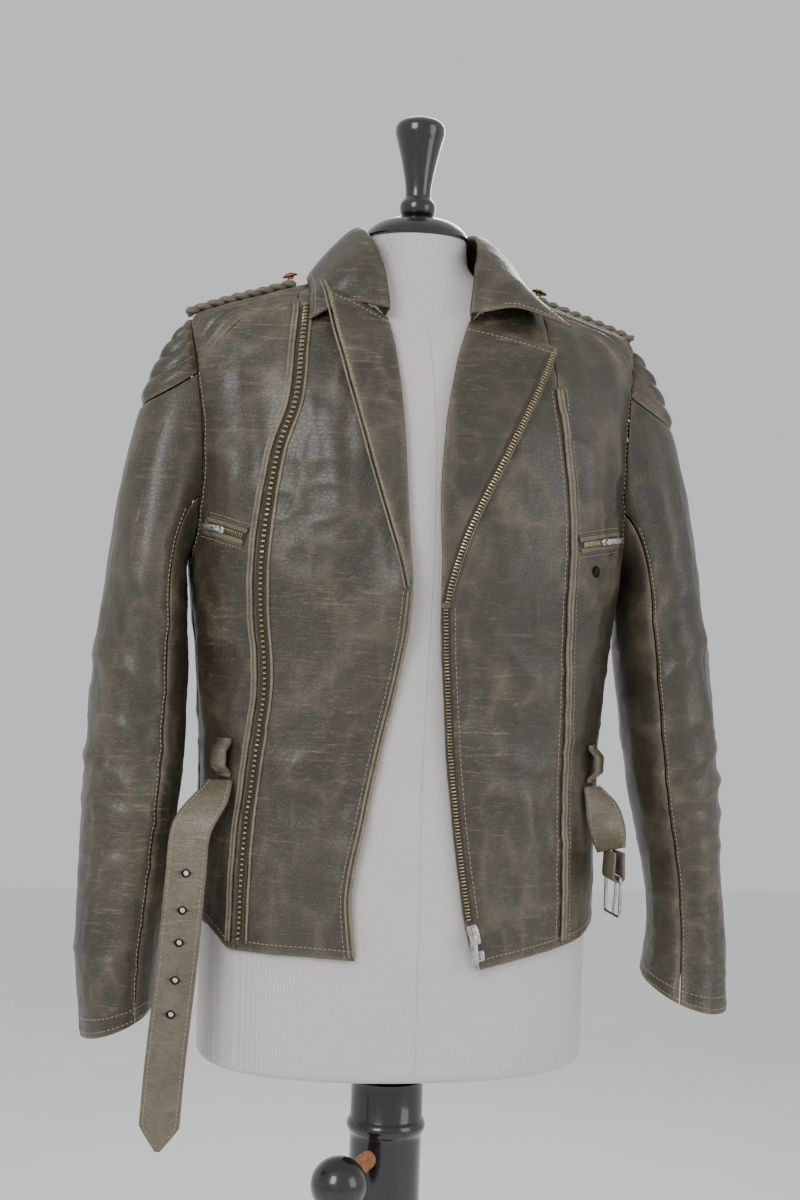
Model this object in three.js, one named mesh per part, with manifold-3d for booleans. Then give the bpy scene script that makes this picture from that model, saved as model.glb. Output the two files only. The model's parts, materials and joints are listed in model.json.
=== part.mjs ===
import * as THREE from 'three';
import Module from 'manifold-3d';
import { mergeVertices } from 'three/addons/utils/BufferGeometryUtils.js';

// Worn leather jacket with an asymmetric zip, filled out on a limbless dress form
// with a turned black neck cap and a black column stand.
// Millimetres, +Z up. The front faces -Y and +X is at the viewer's right, so
// "right" names the wearer's right side, which is -X.
// The origin is the centre of the base plate's flat underside.

// Driving dimensions
const HIDE = 1.6;
const SEAM_INSET = 0.4;
const LAY = 0.6;
const ARMPIT = 1240;
const SHOULDER_TIP = 1463;
const FORM_BOTTOM = 780;
const NECK_TOP = 1549;
const NECK_RADIUS = 46.5;
const COLUMN_RADIUS = 34;
const COLUMN_TOP = 755;
const POLE_RADIUS = 16;
const POLE_CLEARANCE = 0.4;
const BASE_RADIUS = 200;
const BASE_RIM = 14;
const RIBS = 5;
const RIB_RAISE = 2.4;
const REST = 0.3;
const ON_LEATHER = HIDE + LAY;
const ON_STRIP = ON_LEATHER + 0.2;
const NECKLINE_FRONT = 1466;

const DEG = Math.PI / 180;
const V = (x, y, z) => new THREE.Vector3(x, y, z);
const lerp = THREE.MathUtils.lerp;

const wasm = await Module();
wasm.setup();

// Materials
const paint = (color, roughness, metalness) =>
  new THREE.MeshStandardMaterial({ color, roughness, metalness });
const LEATHER = () => paint(0x5e5545, 0.62, 0);
const TEETH = () => paint(0x9a8f72, 0.35, 1);
const NICKEL = () => paint(0xb9bab8, 0.25, 1);
const COPPER = () => paint(0xb07a55, 0.35, 1);
const DARK_SNAP = () => paint(0x1d1c1a, 0.4, 0.6);
const STEEL = () => paint(0x8a8c8e, 0.35, 1);
const LINEN = () => paint(0xcfcdca, 0.9, 0);
const BLACK_WOOD = () => paint(0x16181b, 0.25, 0);
const PALE_WOOD = () => paint(0xa26c48, 0.6, 0);

const model = new THREE.Group();

function addMesh(name, geometry, material, parent = model) {
  const mesh = new THREE.Mesh(geometry, material);
  mesh.name = name;
  parent.add(mesh);
  return mesh;
}

// Curves

// A smooth curve through [height, value] rows that never overshoots them
function profile(rows) {
  const slope = rows.slice(1).map((r, i) => (r[1] - rows[i][1]) / (r[0] - rows[i][0]));
  const tangent = rows.map((_, i) => {
    if (i === 0) return slope[0];
    if (i === rows.length - 1) return slope[i - 1];
    const product = slope[i - 1] * slope[i];
    return product <= 0 ? 0 : (2 * product) / (slope[i - 1] + slope[i]);
  });
  return (at) => {
    const z = THREE.MathUtils.clamp(at, rows[0][0], rows[rows.length - 1][0]);
    let i = 0;
    while (i < rows.length - 2 && z > rows[i + 1][0]) i += 1;
    const h = rows[i + 1][0] - rows[i][0];
    const t = (z - rows[i][0]) / h;
    return (1 + 2 * t) * (1 - t) ** 2 * rows[i][1] + t * (1 - t) ** 2 * h * tangent[i]
      + t * t * (3 - 2 * t) * rows[i + 1][1] + t * t * (t - 1) * h * tangent[i + 1];
  };
}

function hermite(a, da, b, db, t) {
  return a.clone().multiplyScalar((1 + 2 * t) * (1 - t) ** 2)
    .addScaledVector(da, t * (1 - t) ** 2)
    .addScaledVector(b, t * t * (3 - 2 * t))
    .addScaledVector(db, t * t * (t - 1));
}

const range = (count) => Array.from({ length: count }, (_, i) => i);

// The body that the jacket keeps: one section at each height, half as wide as
// halfWidth and as deep as frontDepth and backDepth
const halfWidth = profile([[780, 186], [890, 187], [1060, 188], [1150, 194], [1240, 203],
  [1330, 208], [1420, 212], [1440, 212], [1456, 211], [1463, 205], [1468, 192], [1475, 172],
  [1485, 140], [1495, 108], [1503, 84], [1508, 74], [1516, 60], [1530, 52], [1560, 50]]);
const frontDepth = profile([[780, 128], [890, 126], [960, 122], [1060, 116], [1150, 124],
  [1240, 134], [1330, 128], [1400, 110], [1440, 88], [1462, 70], [1480, 60], [1500, 56],
  [1520, 54], [1560, 50]]);
const backDepth = profile([[780, 126], [890, 124], [960, 112], [1060, 102], [1150, 108],
  [1240, 118], [1330, 118], [1400, 104], [1440, 82], [1462, 66], [1480, 58], [1520, 58],
  [1560, 50]]);
const squareness = profile([[780, 2.3], [1490, 2.3], [1535, 2], [1560, 2]]);

// phi is 0 at the front, 90 degrees at the +X side and 180 at the back
function section(phi, z) {
  const power = 2 / squareness(z);
  const s = Math.sin(phi);
  const c = Math.cos(phi);
  const depth = c >= 0 ? frontDepth(z) : backDepth(z);
  return V(halfWidth(z) * Math.sign(s) * Math.abs(s) ** power,
    -depth * Math.sign(c) * Math.abs(c) ** power, z);
}

function sectionNormal(phi, z) {
  const along = section(phi + 0.004, z).sub(section(phi - 0.004, z));
  const up = section(phi, z + 1).sub(section(phi, z - 1));
  return along.cross(up).normalize();
}

// The angle of the front point that lies x to the side at height z
function frontAngle(x, z) {
  const share = Math.min(1, Math.abs(x) / halfWidth(z));
  return Math.sign(x) * Math.asin(share ** (squareness(z) / 2));
}

const backAngle = (x, z) => Math.sign(x) * Math.PI - frontAngle(x, z);

// Largest folds: [x, z, x, z, half width, height out of the leather], front and back
const FRONT_FOLDS = [
  [-30, 1215, -105, 1060, 20, 5],
  [-24, 1245, -24, 1190, 24, 5],
  [-172, 1415, -165, 1325, 9, -2.2],
  [-188, 1400, -184, 1330, 8, 2],
  [-95, 1370, -85, 1290, 10, 2],
  [-120, 1050, -100, 960, 16, 3],
  [-60, 1010, -70, 920, 14, 3],
  [20, 1130, 60, 1040, 18, 3],
  [90, 1060, 110, 950, 14, 2.5],
  [165, 1180, 150, 1090, 12, 2.5],
];
const BACK_FOLDS = [
  [-60, 1380, -150, 1300, 16, 3],
  [60, 1380, 150, 1300, 16, 3],
  [-120, 1130, -20, 1080, 15, 3],
  [120, 1120, 30, 1070, 15, 3],
  [-90, 1000, -100, 920, 18, 3],
  [90, 1000, 105, 920, 18, 3],
];

function foldHeight(point) {
  const folds = point.y < 0 ? FRONT_FOLDS : BACK_FOLDS;
  return folds.reduce((sum, [x0, z0, x1, z1, width, height]) => {
    const dx = x1 - x0;
    const dz = z1 - z0;
    const t = ((point.x - x0) * dx + (point.z - z0) * dz) / (dx * dx + dz * dz);
    const near = THREE.MathUtils.clamp(t, 0, 1);
    const gap = Math.hypot(point.x - x0 - near * dx, point.z - z0 - near * dz);
    return sum + height * Math.exp(-((gap / width) ** 2));
  }, 0);
}

// A point at [phi, z] on the jacket's inner face, moved out by `out`
function skin([phi, z], out) {
  const point = section(phi, z);
  const height = out + foldHeight(point);
  return point.addScaledVector(sectionNormal(phi, z), height);
}

// Closed solids from grids of points

function signedVolume(vertices, faces) {
  return faces.reduce((sum, [a, b, c]) =>
    sum + vertices[a].dot(vertices[b].clone().cross(vertices[c])) / 6, 0);
}

function solidFrom(vertices, faces) {
  const turned = signedVolume(vertices, faces) < 0 ? faces.map(([a, b, c]) => [a, c, b]) : faces;
  const geometry = new THREE.BufferGeometry();
  const flat = vertices.flatMap((v) => [v.x, v.y, v.z]);
  geometry.setAttribute('position', new THREE.Float32BufferAttribute(flat, 3));
  geometry.setIndex(turned.flat());
  geometry.computeVertexNormals();
  return geometry;
}

// A wall between two grids of the same size; the grids' edges are joined by rims
function wall(outer, inner) {
  const rows = outer.length;
  const cols = outer[0].length;
  const vertices = [...outer.flat(), ...inner.flat()];
  const at = (side, i, j) => side * rows * cols + i * cols + j;
  const faces = [];
  const quad = (a, b, c, d) => faces.push([a, b, c], [a, c, d]);
  for (let i = 0; i < rows - 1; i += 1) {
    for (let j = 0; j < cols - 1; j += 1) {
      quad(at(0, i, j), at(0, i, j + 1), at(0, i + 1, j + 1), at(0, i + 1, j));
      quad(at(1, i, j), at(1, i + 1, j), at(1, i + 1, j + 1), at(1, i, j + 1));
    }
  }
  for (let j = 0; j < cols - 1; j += 1) {
    quad(at(0, 0, j + 1), at(0, 0, j), at(1, 0, j), at(1, 0, j + 1));
    quad(at(0, rows - 1, j), at(0, rows - 1, j + 1), at(1, rows - 1, j + 1), at(1, rows - 1, j));
  }
  for (let i = 0; i < rows - 1; i += 1) {
    quad(at(0, i, 0), at(0, i + 1, 0), at(1, i + 1, 0), at(1, i, 0));
    quad(at(0, i + 1, cols - 1), at(0, i, cols - 1), at(1, i, cols - 1), at(1, i + 1, cols - 1));
  }
  return solidFrom(vertices, faces);
}

// A bar through rings of points, with flat ends
function loft(rings) {
  const n = rings[0].length;
  const last = rings.length - 1;
  const faces = [];
  for (let i = 0; i < last; i += 1) {
    for (let j = 0; j < n; j += 1) {
      const k = (j + 1) % n;
      faces.push([i * n + j, i * n + k, (i + 1) * n + k]);
      faces.push([i * n + j, (i + 1) * n + k, (i + 1) * n + j]);
    }
  }
  for (let j = 1; j < n - 1; j += 1) {
    faces.push([0, j + 1, j]);
    faces.push([last * n, last * n + j, last * n + j + 1]);
  }
  return solidFrom(rings.flat(), faces);
}

// Closed geometry to a manifold solid and back, for the holes
function toManifold(geometry) {
  const bare = geometry.clone();
  bare.deleteAttribute('normal');
  bare.deleteAttribute('uv');
  const merged = mergeVertices(bare, 1e-3);
  return new wasm.Manifold(new wasm.Mesh({
    numProp: 3,
    vertProperties: Float32Array.from(merged.getAttribute('position').array),
    triVerts: Uint32Array.from(merged.index.array),
  }));
}

function fromManifold(solid) {
  const mesh = solid.getMesh();
  const geometry = new THREE.BufferGeometry();
  geometry.setAttribute('position', new THREE.Float32BufferAttribute(mesh.vertProperties, 3));
  geometry.setIndex(Array.from(mesh.triVerts));
  geometry.computeVertexNormals();
  return geometry;
}

// Turned pieces: rows of [radius, height] that start and end on the axis or close on
// themselves
const lathe = (rows, segments = 22) => {
  const turned = new THREE.LatheGeometry(rows.map(([r, z]) => new THREE.Vector2(r, z)), segments);
  return fromManifold(toManifold(turned.rotateX(Math.PI / 2)));
};

// Fills a grid of [phi, z] places between four edges that share their corners
function fillGrid(left, right, top, bottom) {
  const rows = left.length;
  const cols = top.length;
  return left.map((l, i) => top.map((t, j) => {
    const v = i / (rows - 1);
    const u = j / (cols - 1);
    return [0, 1].map((k) => (1 - u) * l[k] + u * right[i][k] + (1 - v) * t[k] + v * bottom[j][k]
      - (1 - u) * (1 - v) * top[0][k] - u * (1 - v) * top[cols - 1][k]
      - (1 - u) * v * bottom[0][k] - u * v * bottom[cols - 1][k]);
  }));
}

// Draws the edges of a grid of places in from the seams, square to each seam
function insetGrid(grid, inset = SEAM_INSET) {
  const rows = grid.length - 1;
  const cols = grid[0].length - 1;
  const moved = (from, to, before, after) => {
    const span = section(...to).sub(section(...from));
    const along = section(...after).sub(section(...before)).normalize();
    const square = span.clone().cross(along).length();
    return from.map((value, k) => lerp(value, to[k], inset / square));
  };
  const near = (i, last) => [Math.max(i - 1, 0), Math.min(i + 1, last)];
  const wide = grid.map((row, i) => {
    const [a, b] = near(i, rows);
    const copy = row.slice();
    copy[0] = moved(row[0], row[1], grid[a][0], grid[b][0]);
    copy[cols] = moved(row[cols], row[cols - 1], grid[a][cols], grid[b][cols]);
    return copy;
  });
  const edge = (i, next) => wide[i].map((place, j) => {
    const [a, b] = near(j, cols);
    return moved(place, wide[next][j], wide[i][a], wide[i][b]);
  });
  return [edge(0, 1), ...wide.slice(1, rows), edge(rows, rows - 1)];
}

// A leather piece on the body; raise(i, j) lifts its outer face only
function bodyPiece(name, grid, { out = 0, raise = () => 0, material = LEATHER(), thick = HIDE } = {}) {
  const outer = grid.map((row, i) => row.map((place, j) => skin(place, out + thick + raise(i, j))));
  const inner = grid.map((row) => row.map((place) => skin(place, out)));
  return addMesh(name, wall(outer, inner), material);
}

// Places along a polyline of [phi, z] corners, evenly spaced on the body
function placesAlong(corners, count) {
  const lengths = [0];
  for (let i = 1; i < corners.length; i += 1) {
    lengths.push(lengths[i - 1] + section(...corners[i]).distanceTo(section(...corners[i - 1])));
  }
  const total = lengths[lengths.length - 1];
  return range(count).map((k) => {
    const at = (total * k) / (count - 1);
    let i = 1;
    while (i < corners.length - 1 && lengths[i] < at) i += 1;
    const t = (at - lengths[i - 1]) / (lengths[i] - lengths[i - 1]);
    return [0, 1].map((axis) => lerp(corners[i - 1][axis], corners[i][axis], t));
  });
}

// Armholes: psi is 0 at the shoulder tip, 90 degrees at the front, 180 at the armpit
const ARMHOLE_MIDDLE = (SHOULDER_TIP + ARMPIT) / 2;
const ARMHOLE_HEIGHT = (SHOULDER_TIP - ARMPIT) / 2;
const ARMHOLE_REACH = 20 * DEG;
const QUILT_END = 58 * DEG;
const QUILT_START = 5.8 * DEG;
const LOWER_STEP = (Math.PI - QUILT_END) / 8;

const armhole = (side, psi) => [side * (Math.PI / 2 - ARMHOLE_REACH * Math.sin(psi)),
  ARMHOLE_MIDDLE + ARMHOLE_HEIGHT * Math.cos(psi)];

const quiltAngle = (t) => lerp(QUILT_START, QUILT_END, t);
const lowerAngles = range(9).map((k) => QUILT_END + k * LOWER_STEP);

// Seam lines on the front, as the distance from the middle at each height
const zipLine = profile([[880, 158], [999, 155], [1080, 147], [1134, 144], [1205, 151],
  [1266, 150], [1337, 141], [1382, 127], [1434, 121], [1477, 114], [1494, 110.5]]);
const princessLine = profile([[880, 140], [1031, 137], [1123, 135], [1214, 131], [1269, 131],
  [1350, 124], [1410, 117], [1477, 113], [1494, 110.5]]);
const rightOpening = profile([[880, -56], [944, -62], [1005, -52], [1085, -37], [1165, -23],
  [1218, -20], [1262, -23], [1297, -25], [1368, -29], [1423, -33], [1466, -38]]);
const leftOpening = profile([[880, 53], [914, 42], [954, 35], [1033, 24], [1131, 13],
  [1201, 7], [1245, 6], [1298, 4], [1361, 8], [1426, 22], [1466, 38]]);
const rightHem = profile([[-187, 912], [-180, 908], [-161, 891], [-104, 891], [-55, 889]]);
const leftHem = profile([[53, 881], [95, 889], [141, 897], [167, 903], [187, 912]]);

const YOKE_TOP = 1478;
const YOKE_BACK = [142 * DEG, 1499];
const NECK_POINT = 1507;
const SIDE_ROWS = 9;
const OPENING_ROOM = 0.02;
const sideHeights = range(SIDE_ROWS).map((k) => lerp(ARMPIT, 912, (k + 1) / SIDE_ROWS));

// The outer edge of a side panel: half the armhole, then the side seam
function sideEdge(side, back) {
  const turn = back ? -1 : 1;
  const curve = lowerAngles.map((psi) => armhole(side, turn * psi));
  return [...curve, ...sideHeights.map((z) => [side * Math.PI / 2, z])];
}

// Heights on a seam that match a side edge's rows
function matchingHeights(edge, top, bottom) {
  const first = edge[0][1];
  const last = edge[edge.length - 1][1];
  return edge.map(([, z]) => lerp(bottom, top, (z - last) / (first - last)));
}

// Front panels; hem is the hem's height at x, seam and opening give x at a height
function frontPanels(side, seam, opening, hem, word) {
  const edge = sideEdge(side, false);
  const seamX = (z) => side * seam(z);
  const seamFoot = hem(seamX(900));
  const seamHeights = matchingHeights(edge, YOKE_TOP, seamFoot);
  const seamPlaces = seamHeights.map((z) => [frontAngle(seamX(z), z), z]);
  const sideTop = placesAlong([seamPlaces[0], edge[0]], 7);
  const sideHem = range(7).map((j) => {
    const x = lerp(seamX(900), side * 187, j / 6);
    const z = hem(x);
    return [frontAngle(x, z), z];
  });
  sideHem[0] = seamPlaces[seamPlaces.length - 1];
  sideHem[6] = edge[edge.length - 1];
  bodyPiece(`front_${word}_side`, insetGrid(fillGrid(seamPlaces, edge, sideTop, sideHem)));

  const ridge = placesAlong([[side * Math.PI / 2, NECK_POINT], seamPlaces[0]], 5).slice(0, 4);
  const inner = [...ridge, ...seamPlaces];
  const innerHeights = inner.map(([, z]) => z);
  const openFoot = hem(opening(885));
  const openPlaces = innerHeights.map((z) => {
    const level = lerp(openFoot, NECKLINE_FRONT, (z - seamFoot) / (NECK_POINT - seamFoot));
    return [frontAngle(opening(level), level), level];
  });
  const neck = [ridge[0], [side * 58 * DEG, 1503],
    [side * 34 * DEG, 1494], [side * 19 * DEG, 1482], openPlaces[0]];
  const cols = side < 0 ? 10 : 9;
  const neckPlaces = placesAlong(neck, cols);
  const hemPlaces = range(cols).map((j) => {
    const x = lerp(seamX(900), opening(openFoot), j / (cols - 1));
    const z = hem(x);
    return [frontAngle(x, z), z];
  });
  hemPlaces[0] = inner[inner.length - 1];
  hemPlaces[cols - 1] = openPlaces[openPlaces.length - 1];
  // Near the neck the filled grid would bulge past the opening, so it is held back
  const held = fillGrid(inner, openPlaces, neckPlaces, hemPlaces).map((row) =>
    row.map(([phi, z], j) => {
      const limit = Math.abs(frontAngle(opening(z), z)) + OPENING_ROOM * (1 - j / (cols - 1));
      return [side * Math.max(Math.abs(phi), limit), z];
    }));
  bodyPiece(`front_${word}_centre`, insetGrid(held));
}

frontPanels(-1, zipLine, rightOpening, rightHem, 'right');
frontPanels(1, princessLine, leftOpening, leftHem, 'left');

// The back is one piece from side seam to side seam, with the neck hollowed out
function backPanel() {
  const left = sideEdge(1, true);
  const right = sideEdge(-1, true).map(([phi, z]) => [phi + 2 * Math.PI, z]);
  const corner = YOKE_BACK;
  const halfPlaces = [...placesAlong([left[0], corner], 7),
    ...placesAlong([corner, [Math.PI, 1500]], 4).slice(1)];
  const mirrored = halfPlaces.slice(0, -1).reverse().map(([phi, z]) => [2 * Math.PI - phi, z]);
  const top = [...halfPlaces, ...mirrored];
  const hem = range(top.length).map((j) => {
    const u = j / (top.length - 1);
    return [Math.PI / 2 + Math.PI * u, 912 - 18 * Math.sin(Math.PI * u)];
  });
  bodyPiece('back', insetGrid(fillGrid(left, right, top, hem)));
}
backPanel();

// Quilted yokes, each over one shoulder; their ribs run from the armhole to the neck
const QUILT_ROWS = 2 * RIBS;
const YOKE_COLUMNS = 7;
const ribRaise = (row) => (row % 2 === 1 ? RIB_RAISE : 0);

function yoke(side, word, seam) {
  const front = range(QUILT_ROWS + 1).map((k) => armhole(side, quiltAngle(1 - k / QUILT_ROWS)));
  const back = range(QUILT_ROWS + 1).map((k) => armhole(side, -quiltAngle(k / QUILT_ROWS)));
  const armEdge = [...front, ...back];
  const neckCorners = [[frontAngle(side * seam(YOKE_TOP), YOKE_TOP), YOKE_TOP],
    [side * Math.PI / 2, NECK_POINT], [side * YOKE_BACK[0], YOKE_BACK[1]]];
  const neckEdge = [...placesAlong(neckCorners.slice(0, 2), QUILT_ROWS + 2).slice(0, -1),
    ...placesAlong(neckCorners.slice(1), QUILT_ROWS + 2).slice(1)];
  const grid = armEdge.map((arm, i) => placesAlong([arm, neckEdge[i]], YOKE_COLUMNS));
  const raise = (i, j) => {
    const seamed = j === 0 || j === YOKE_COLUMNS - 1;
    return seamed ? 0 : 0.8 + ribRaise(i <= QUILT_ROWS ? i : i - 1);
  };
  bodyPiece(`yoke_${word}`, insetGrid(grid), { raise });
}
yoke(-1, 'right', zipLine);
yoke(1, 'left', princessLine);

// Sleeves: rings go from the armhole to the cuff, each with its outermost and innermost
// [x, z], its middle's y, half its depth and how far its front dips
const RIGHT_RINGS = [
  { outer: [-281, 1215], inner: [-207, 1215], y: -5, depth: 60, dip: 0 },
  { outer: [-290, 1130], inner: [-204, 1130], y: -7, depth: 58, dip: 0 },
  { outer: [-294, 1045], inner: [-206, 1045], y: -9, depth: 55, dip: 0 },
  { outer: [-296, 965], inner: [-214, 965], y: -12, depth: 52, dip: 0 },
  { outer: [-297, 885], inner: [-223, 885], y: -15, depth: 50, dip: 0 },
  { outer: [-290, 803], inner: [-227, 828], y: -18, depth: 48, dip: 0 },
];
const LEFT_RINGS = [
  { outer: [289, 1215], inner: [207, 1215], y: -3, depth: 60, dip: 0 },
  { outer: [303, 1130], inner: [215, 1130], y: -5, depth: 58, dip: 0 },
  { outer: [312, 1035], inner: [229, 1035], y: -8, depth: 53, dip: 0 },
  { outer: [318, 950], inner: [247, 950], y: -12, depth: 45, dip: 0 },
  { outer: [322, 900], inner: [250, 900], y: -15, depth: 45, dip: 3 },
  { outer: [325, 830], inner: [244, 858], y: -19, depth: 54, dip: 14 },
];
const SLEEVE_START = 0.8;
const CAP_REACH = 0.42;
const FRONT_SEAM = lowerAngles[4];

function sleeveSurface(side, rings) {
  const middle = section(side * Math.PI / 2, ARMHOLE_MIDDLE);
  const start = (psi) => {
    const place = armhole(side, psi);
    const point = skin(place, HIDE);
    const normal = sectionNormal(...place);
    const along = section(...armhole(side, psi + 0.02)).sub(section(...armhole(side, psi - 0.02)));
    const inward = normal.clone().cross(along).normalize();
    if (inward.dot(middle.clone().sub(point)) < 0) inward.negate();
    return point.addScaledVector(inward, SLEEVE_START);
  };
  const ringPoint = (ring, psi) => {
    const c = (Math.cos(psi) + 1) / 2;
    const sag = ring.dip * Math.max(0, Math.sin(psi - 0.3));
    return V(lerp(ring.inner[0], ring.outer[0], c), ring.y - ring.depth * Math.sin(psi),
      lerp(ring.inner[1], ring.outer[1], c) - sag);
  };
  const leave = (psi) => V(0.8 * side, -0.3 * Math.sin(psi), -0.6).normalize().multiplyScalar(0.7);
  const point = (psi, v) => {
    const i = Math.min(Math.floor(v), rings.length - 1);
    const points = [start(psi), ...rings.map((ring) => ringPoint(ring, psi))];
    const heading = (k) => {
      if (k === 0) return leave(psi);
      if (k === 1) return points[2].clone().sub(points[1]).normalize();
      const next = points[Math.min(k + 1, points.length - 1)];
      return next.clone().sub(points[k - 1]).normalize();
    };
    const span = points[i].distanceTo(points[i + 1]);
    return hermite(points[i], heading(i).multiplyScalar(span), points[i + 1],
      heading(i + 1).multiplyScalar(span), v - i);
  };
  const normal = (psi, v) => {
    const down = point(psi, Math.min(v + 0.02, rings.length)).sub(point(psi, Math.max(v - 0.02, 0)));
    const round = point(psi + 0.02, v).sub(point(psi - 0.02, v));
    return round.cross(down).normalize().multiplyScalar(side);
  };
  return { point, normal };
}

// A sleeve piece over a grid of [psi, v]; raise lifts the outer face only
function sleevePiece(name, surface, grid, raise = () => 0, sunk = 0) {
  const outer = grid.map((row, i) => row.map((p, j) =>
    surface.point(...p).addScaledVector(surface.normal(...p), raise(i, j) - sunk)));
  const inner = grid.map((row) => row.map((p) =>
    surface.point(...p).addScaledVector(surface.normal(...p), -HIDE - sunk)));
  return addMesh(name, wall(outer, inner), LEATHER());
}

const CAP_COLUMNS = 13;
const CAP_GAP = 0.012;
const PSI_GAP = 0.009;
const capFan = range(CAP_COLUMNS).map((k) => (k / (CAP_COLUMNS - 1) - 0.5) * Math.PI);
const sleeveRows = [0, 0.5, 1, 1.6, 2.3, 3, 3.8, 4.5, 5, 5.5, 6];

// The left cuff's zip is open: the back seam spreads from its top down to the cuff
const SPREAD_FROM = 4.8;
const spreadAt = (spread, v) => spread * Math.max(0, (v - SPREAD_FROM) / (6 - SPREAD_FROM));

function sleeve(side, rings, word, spread = 0) {
  const surface = sleeveSurface(side, rings);
  const cap = range(QUILT_ROWS + 1).map((k) => {
    const t = k / QUILT_ROWS;
    return capFan.map((a) => [quiltAngle(t) * Math.sin(a), CAP_REACH * t * Math.cos(a)]);
  });
  const end = CAP_COLUMNS - 1;
  const raise = (i, j) => (i === 0 || j === 0 || j === end ? 0 : 0.8 + ribRaise(i));
  sleevePiece(`sleeve_cap_${word}`, surface, cap, raise);
  const grown = 1 + CAP_GAP;
  const edge = [...capFan.map((a) => [QUILT_END * grown * Math.sin(a), CAP_REACH * grown * Math.cos(a)]),
    ...lowerAngles.slice(1, 5).map((psi) => [psi, 0])];
  edge[edge.length - 1][0] -= PSI_GAP;
  const rowsFrom = (v0) => sleeveRows.map((v) => (v < 1 ? lerp(v0, 1, v) : v));
  const opened = (psi, v, j) => (j === 0 ? psi + spreadAt(spread, v) : psi);
  const top = sleeveRows.map((_, i) => edge.map(([psi, v0], j) => {
    const v = rowsFrom(v0)[i];
    return [opened(psi, v, j), v];
  }));
  sleevePiece(`sleeve_top_${word}`, surface, top);
  const backSeam = -QUILT_END * grown - PSI_GAP;
  const under = [FRONT_SEAM + PSI_GAP, ...lowerAngles.slice(5),
    ...lowerAngles.slice(1, 8).map((psi) => 2 * Math.PI - psi).reverse(), 2 * Math.PI + backSeam];
  const last = under.length - 1;
  sleevePiece(`sleeve_under_${word}`, surface, sleeveRows.map((v) =>
    under.map((psi, j) => [j === last ? psi - spreadAt(spread, v) : psi, v])));
  return surface;
}
const rightSleeve = sleeve(-1, RIGHT_RINGS, 'right');
const CUFF_SPREAD = 9 * DEG;
const leftSleeve = sleeve(1, LEFT_RINGS, 'left', CUFF_SPREAD);
const gussetGrid = [4.9, 5.2, 5.5, 5.85].map((v) => range(5).map((k) => {
  const half = spreadAt(CUFF_SPREAD, v) + 5 * DEG;
  return [-QUILT_END * (1 + CAP_GAP) + lerp(-half, half, k / 4), v];
}));
sleevePiece('gusset_left', leftSleeve, gussetGrid, () => 0, HIDE + 0.7);

// Lapels lie over the centre panels; lift is their height over the panel at the edge
const rightLapelEdge = [[-92, 1482], [-88, 1449], [-76, 1402], [-61, 1348], [-45, 1296], [-30, 1248],
  [-24, 1222]];
const leftLapelEdge = [[119, 1443], [113, 1428], [85, 1374], [56, 1318], [31, 1264], [19, 1226],
  [13, 1200]];

function curveAt(points, count) {
  const curve = new THREE.CatmullRomCurve3(points.map(([x, z]) => V(x, 0, z)), false, 'centripetal');
  return range(count).map((k) => curve.getPointAt(k / (count - 1))).map((p) => [p.x, p.z]);
}

function lapel(name, opening, edge, rows, lift) {
  const cols = 6;
  const foot = edge[edge.length - 1][1];
  const outerEdge = curveAt(edge, rows);
  const grid = outerEdge.map(([x, z], i) => {
    const level = lerp(NECKLINE_FRONT, foot, i / (rows - 1));
    const rollX = opening(level);
    return range(cols).map((j) => {
      const u = j / (cols - 1);
      const px = lerp(rollX, x, u);
      const pz = lerp(level, z, u);
      return [frontAngle(px, pz), pz];
    });
  });
  const height = (i, j) => {
    const u = j / (cols - 1);
    return lift.base + (lift.tip - lift.base) * u * (1 - i / (rows - 1)) ** 1.6;
  };
  const face = (thick) => grid.map((row, i) =>
    row.map((place, j) => skin(place, ON_LEATHER + height(i, j) + thick)));
  addMesh(name, wall(face(HIDE), face(0)), LEATHER());
}
lapel('lapel_right', rightOpening, rightLapelEdge, 11, { base: 0.3, tip: 20 });
lapel('lapel_left', leftOpening, leftLapelEdge, 11, { base: 0.3, tip: 6 });

// The collar: at each station the neck seam, roll, fall and edge, from the right front
// end round the back to the left front end
const COLLAR_RIGHT = [
  { seam: [-46, -68, 1477], roll: [-41, -76, 1489], fall: [-74, -67, 1482], edge: [-110, -72, 1459] },
  { seam: [-58, -60, 1488], roll: [-43, -68, 1510], fall: [-72, -70, 1504], edge: [-108, -60, 1479] },
  { seam: [-73, -45, 1501], roll: [-50, -48, 1536], fall: [-76, -50, 1524], edge: [-106, -42, 1491] },
  { seam: [-81, -10, 1511], roll: [-54, -12, 1555], fall: [-80, -14, 1538], edge: [-105, -10, 1506] },
];
const COLLAR_LEFT = [
  { seam: [46, -68, 1477], roll: [41, -76, 1489], fall: [80, -80, 1486], edge: [132, -80, 1466] },
  { seam: [58, -60, 1488], roll: [43, -68, 1510], fall: [74, -72, 1506], edge: [118, -62, 1482] },
  { seam: [73, -45, 1501], roll: [50, -48, 1536], fall: [76, -50, 1524], edge: [109, -42, 1492] },
  { seam: [81, -10, 1511], roll: [54, -12, 1555], fall: [80, -14, 1538], edge: [104, -10, 1506] },
];
const COLLAR_BACK = [
  { seam: [-66, 45, 1508], roll: [-42, 40, 1560], fall: [-60, 60, 1542], edge: [-76, 82, 1503] },
  { seam: [0, 61.8, 1501], roll: [0, 57, 1563], fall: [0, 80, 1544], edge: [0, 96, 1500] },
  { seam: [66, 45, 1508], roll: [42, 40, 1560], fall: [60, 60, 1542], edge: [76, 82, 1503] },
];
const COLLAR_HALF = 1.1;

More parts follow.
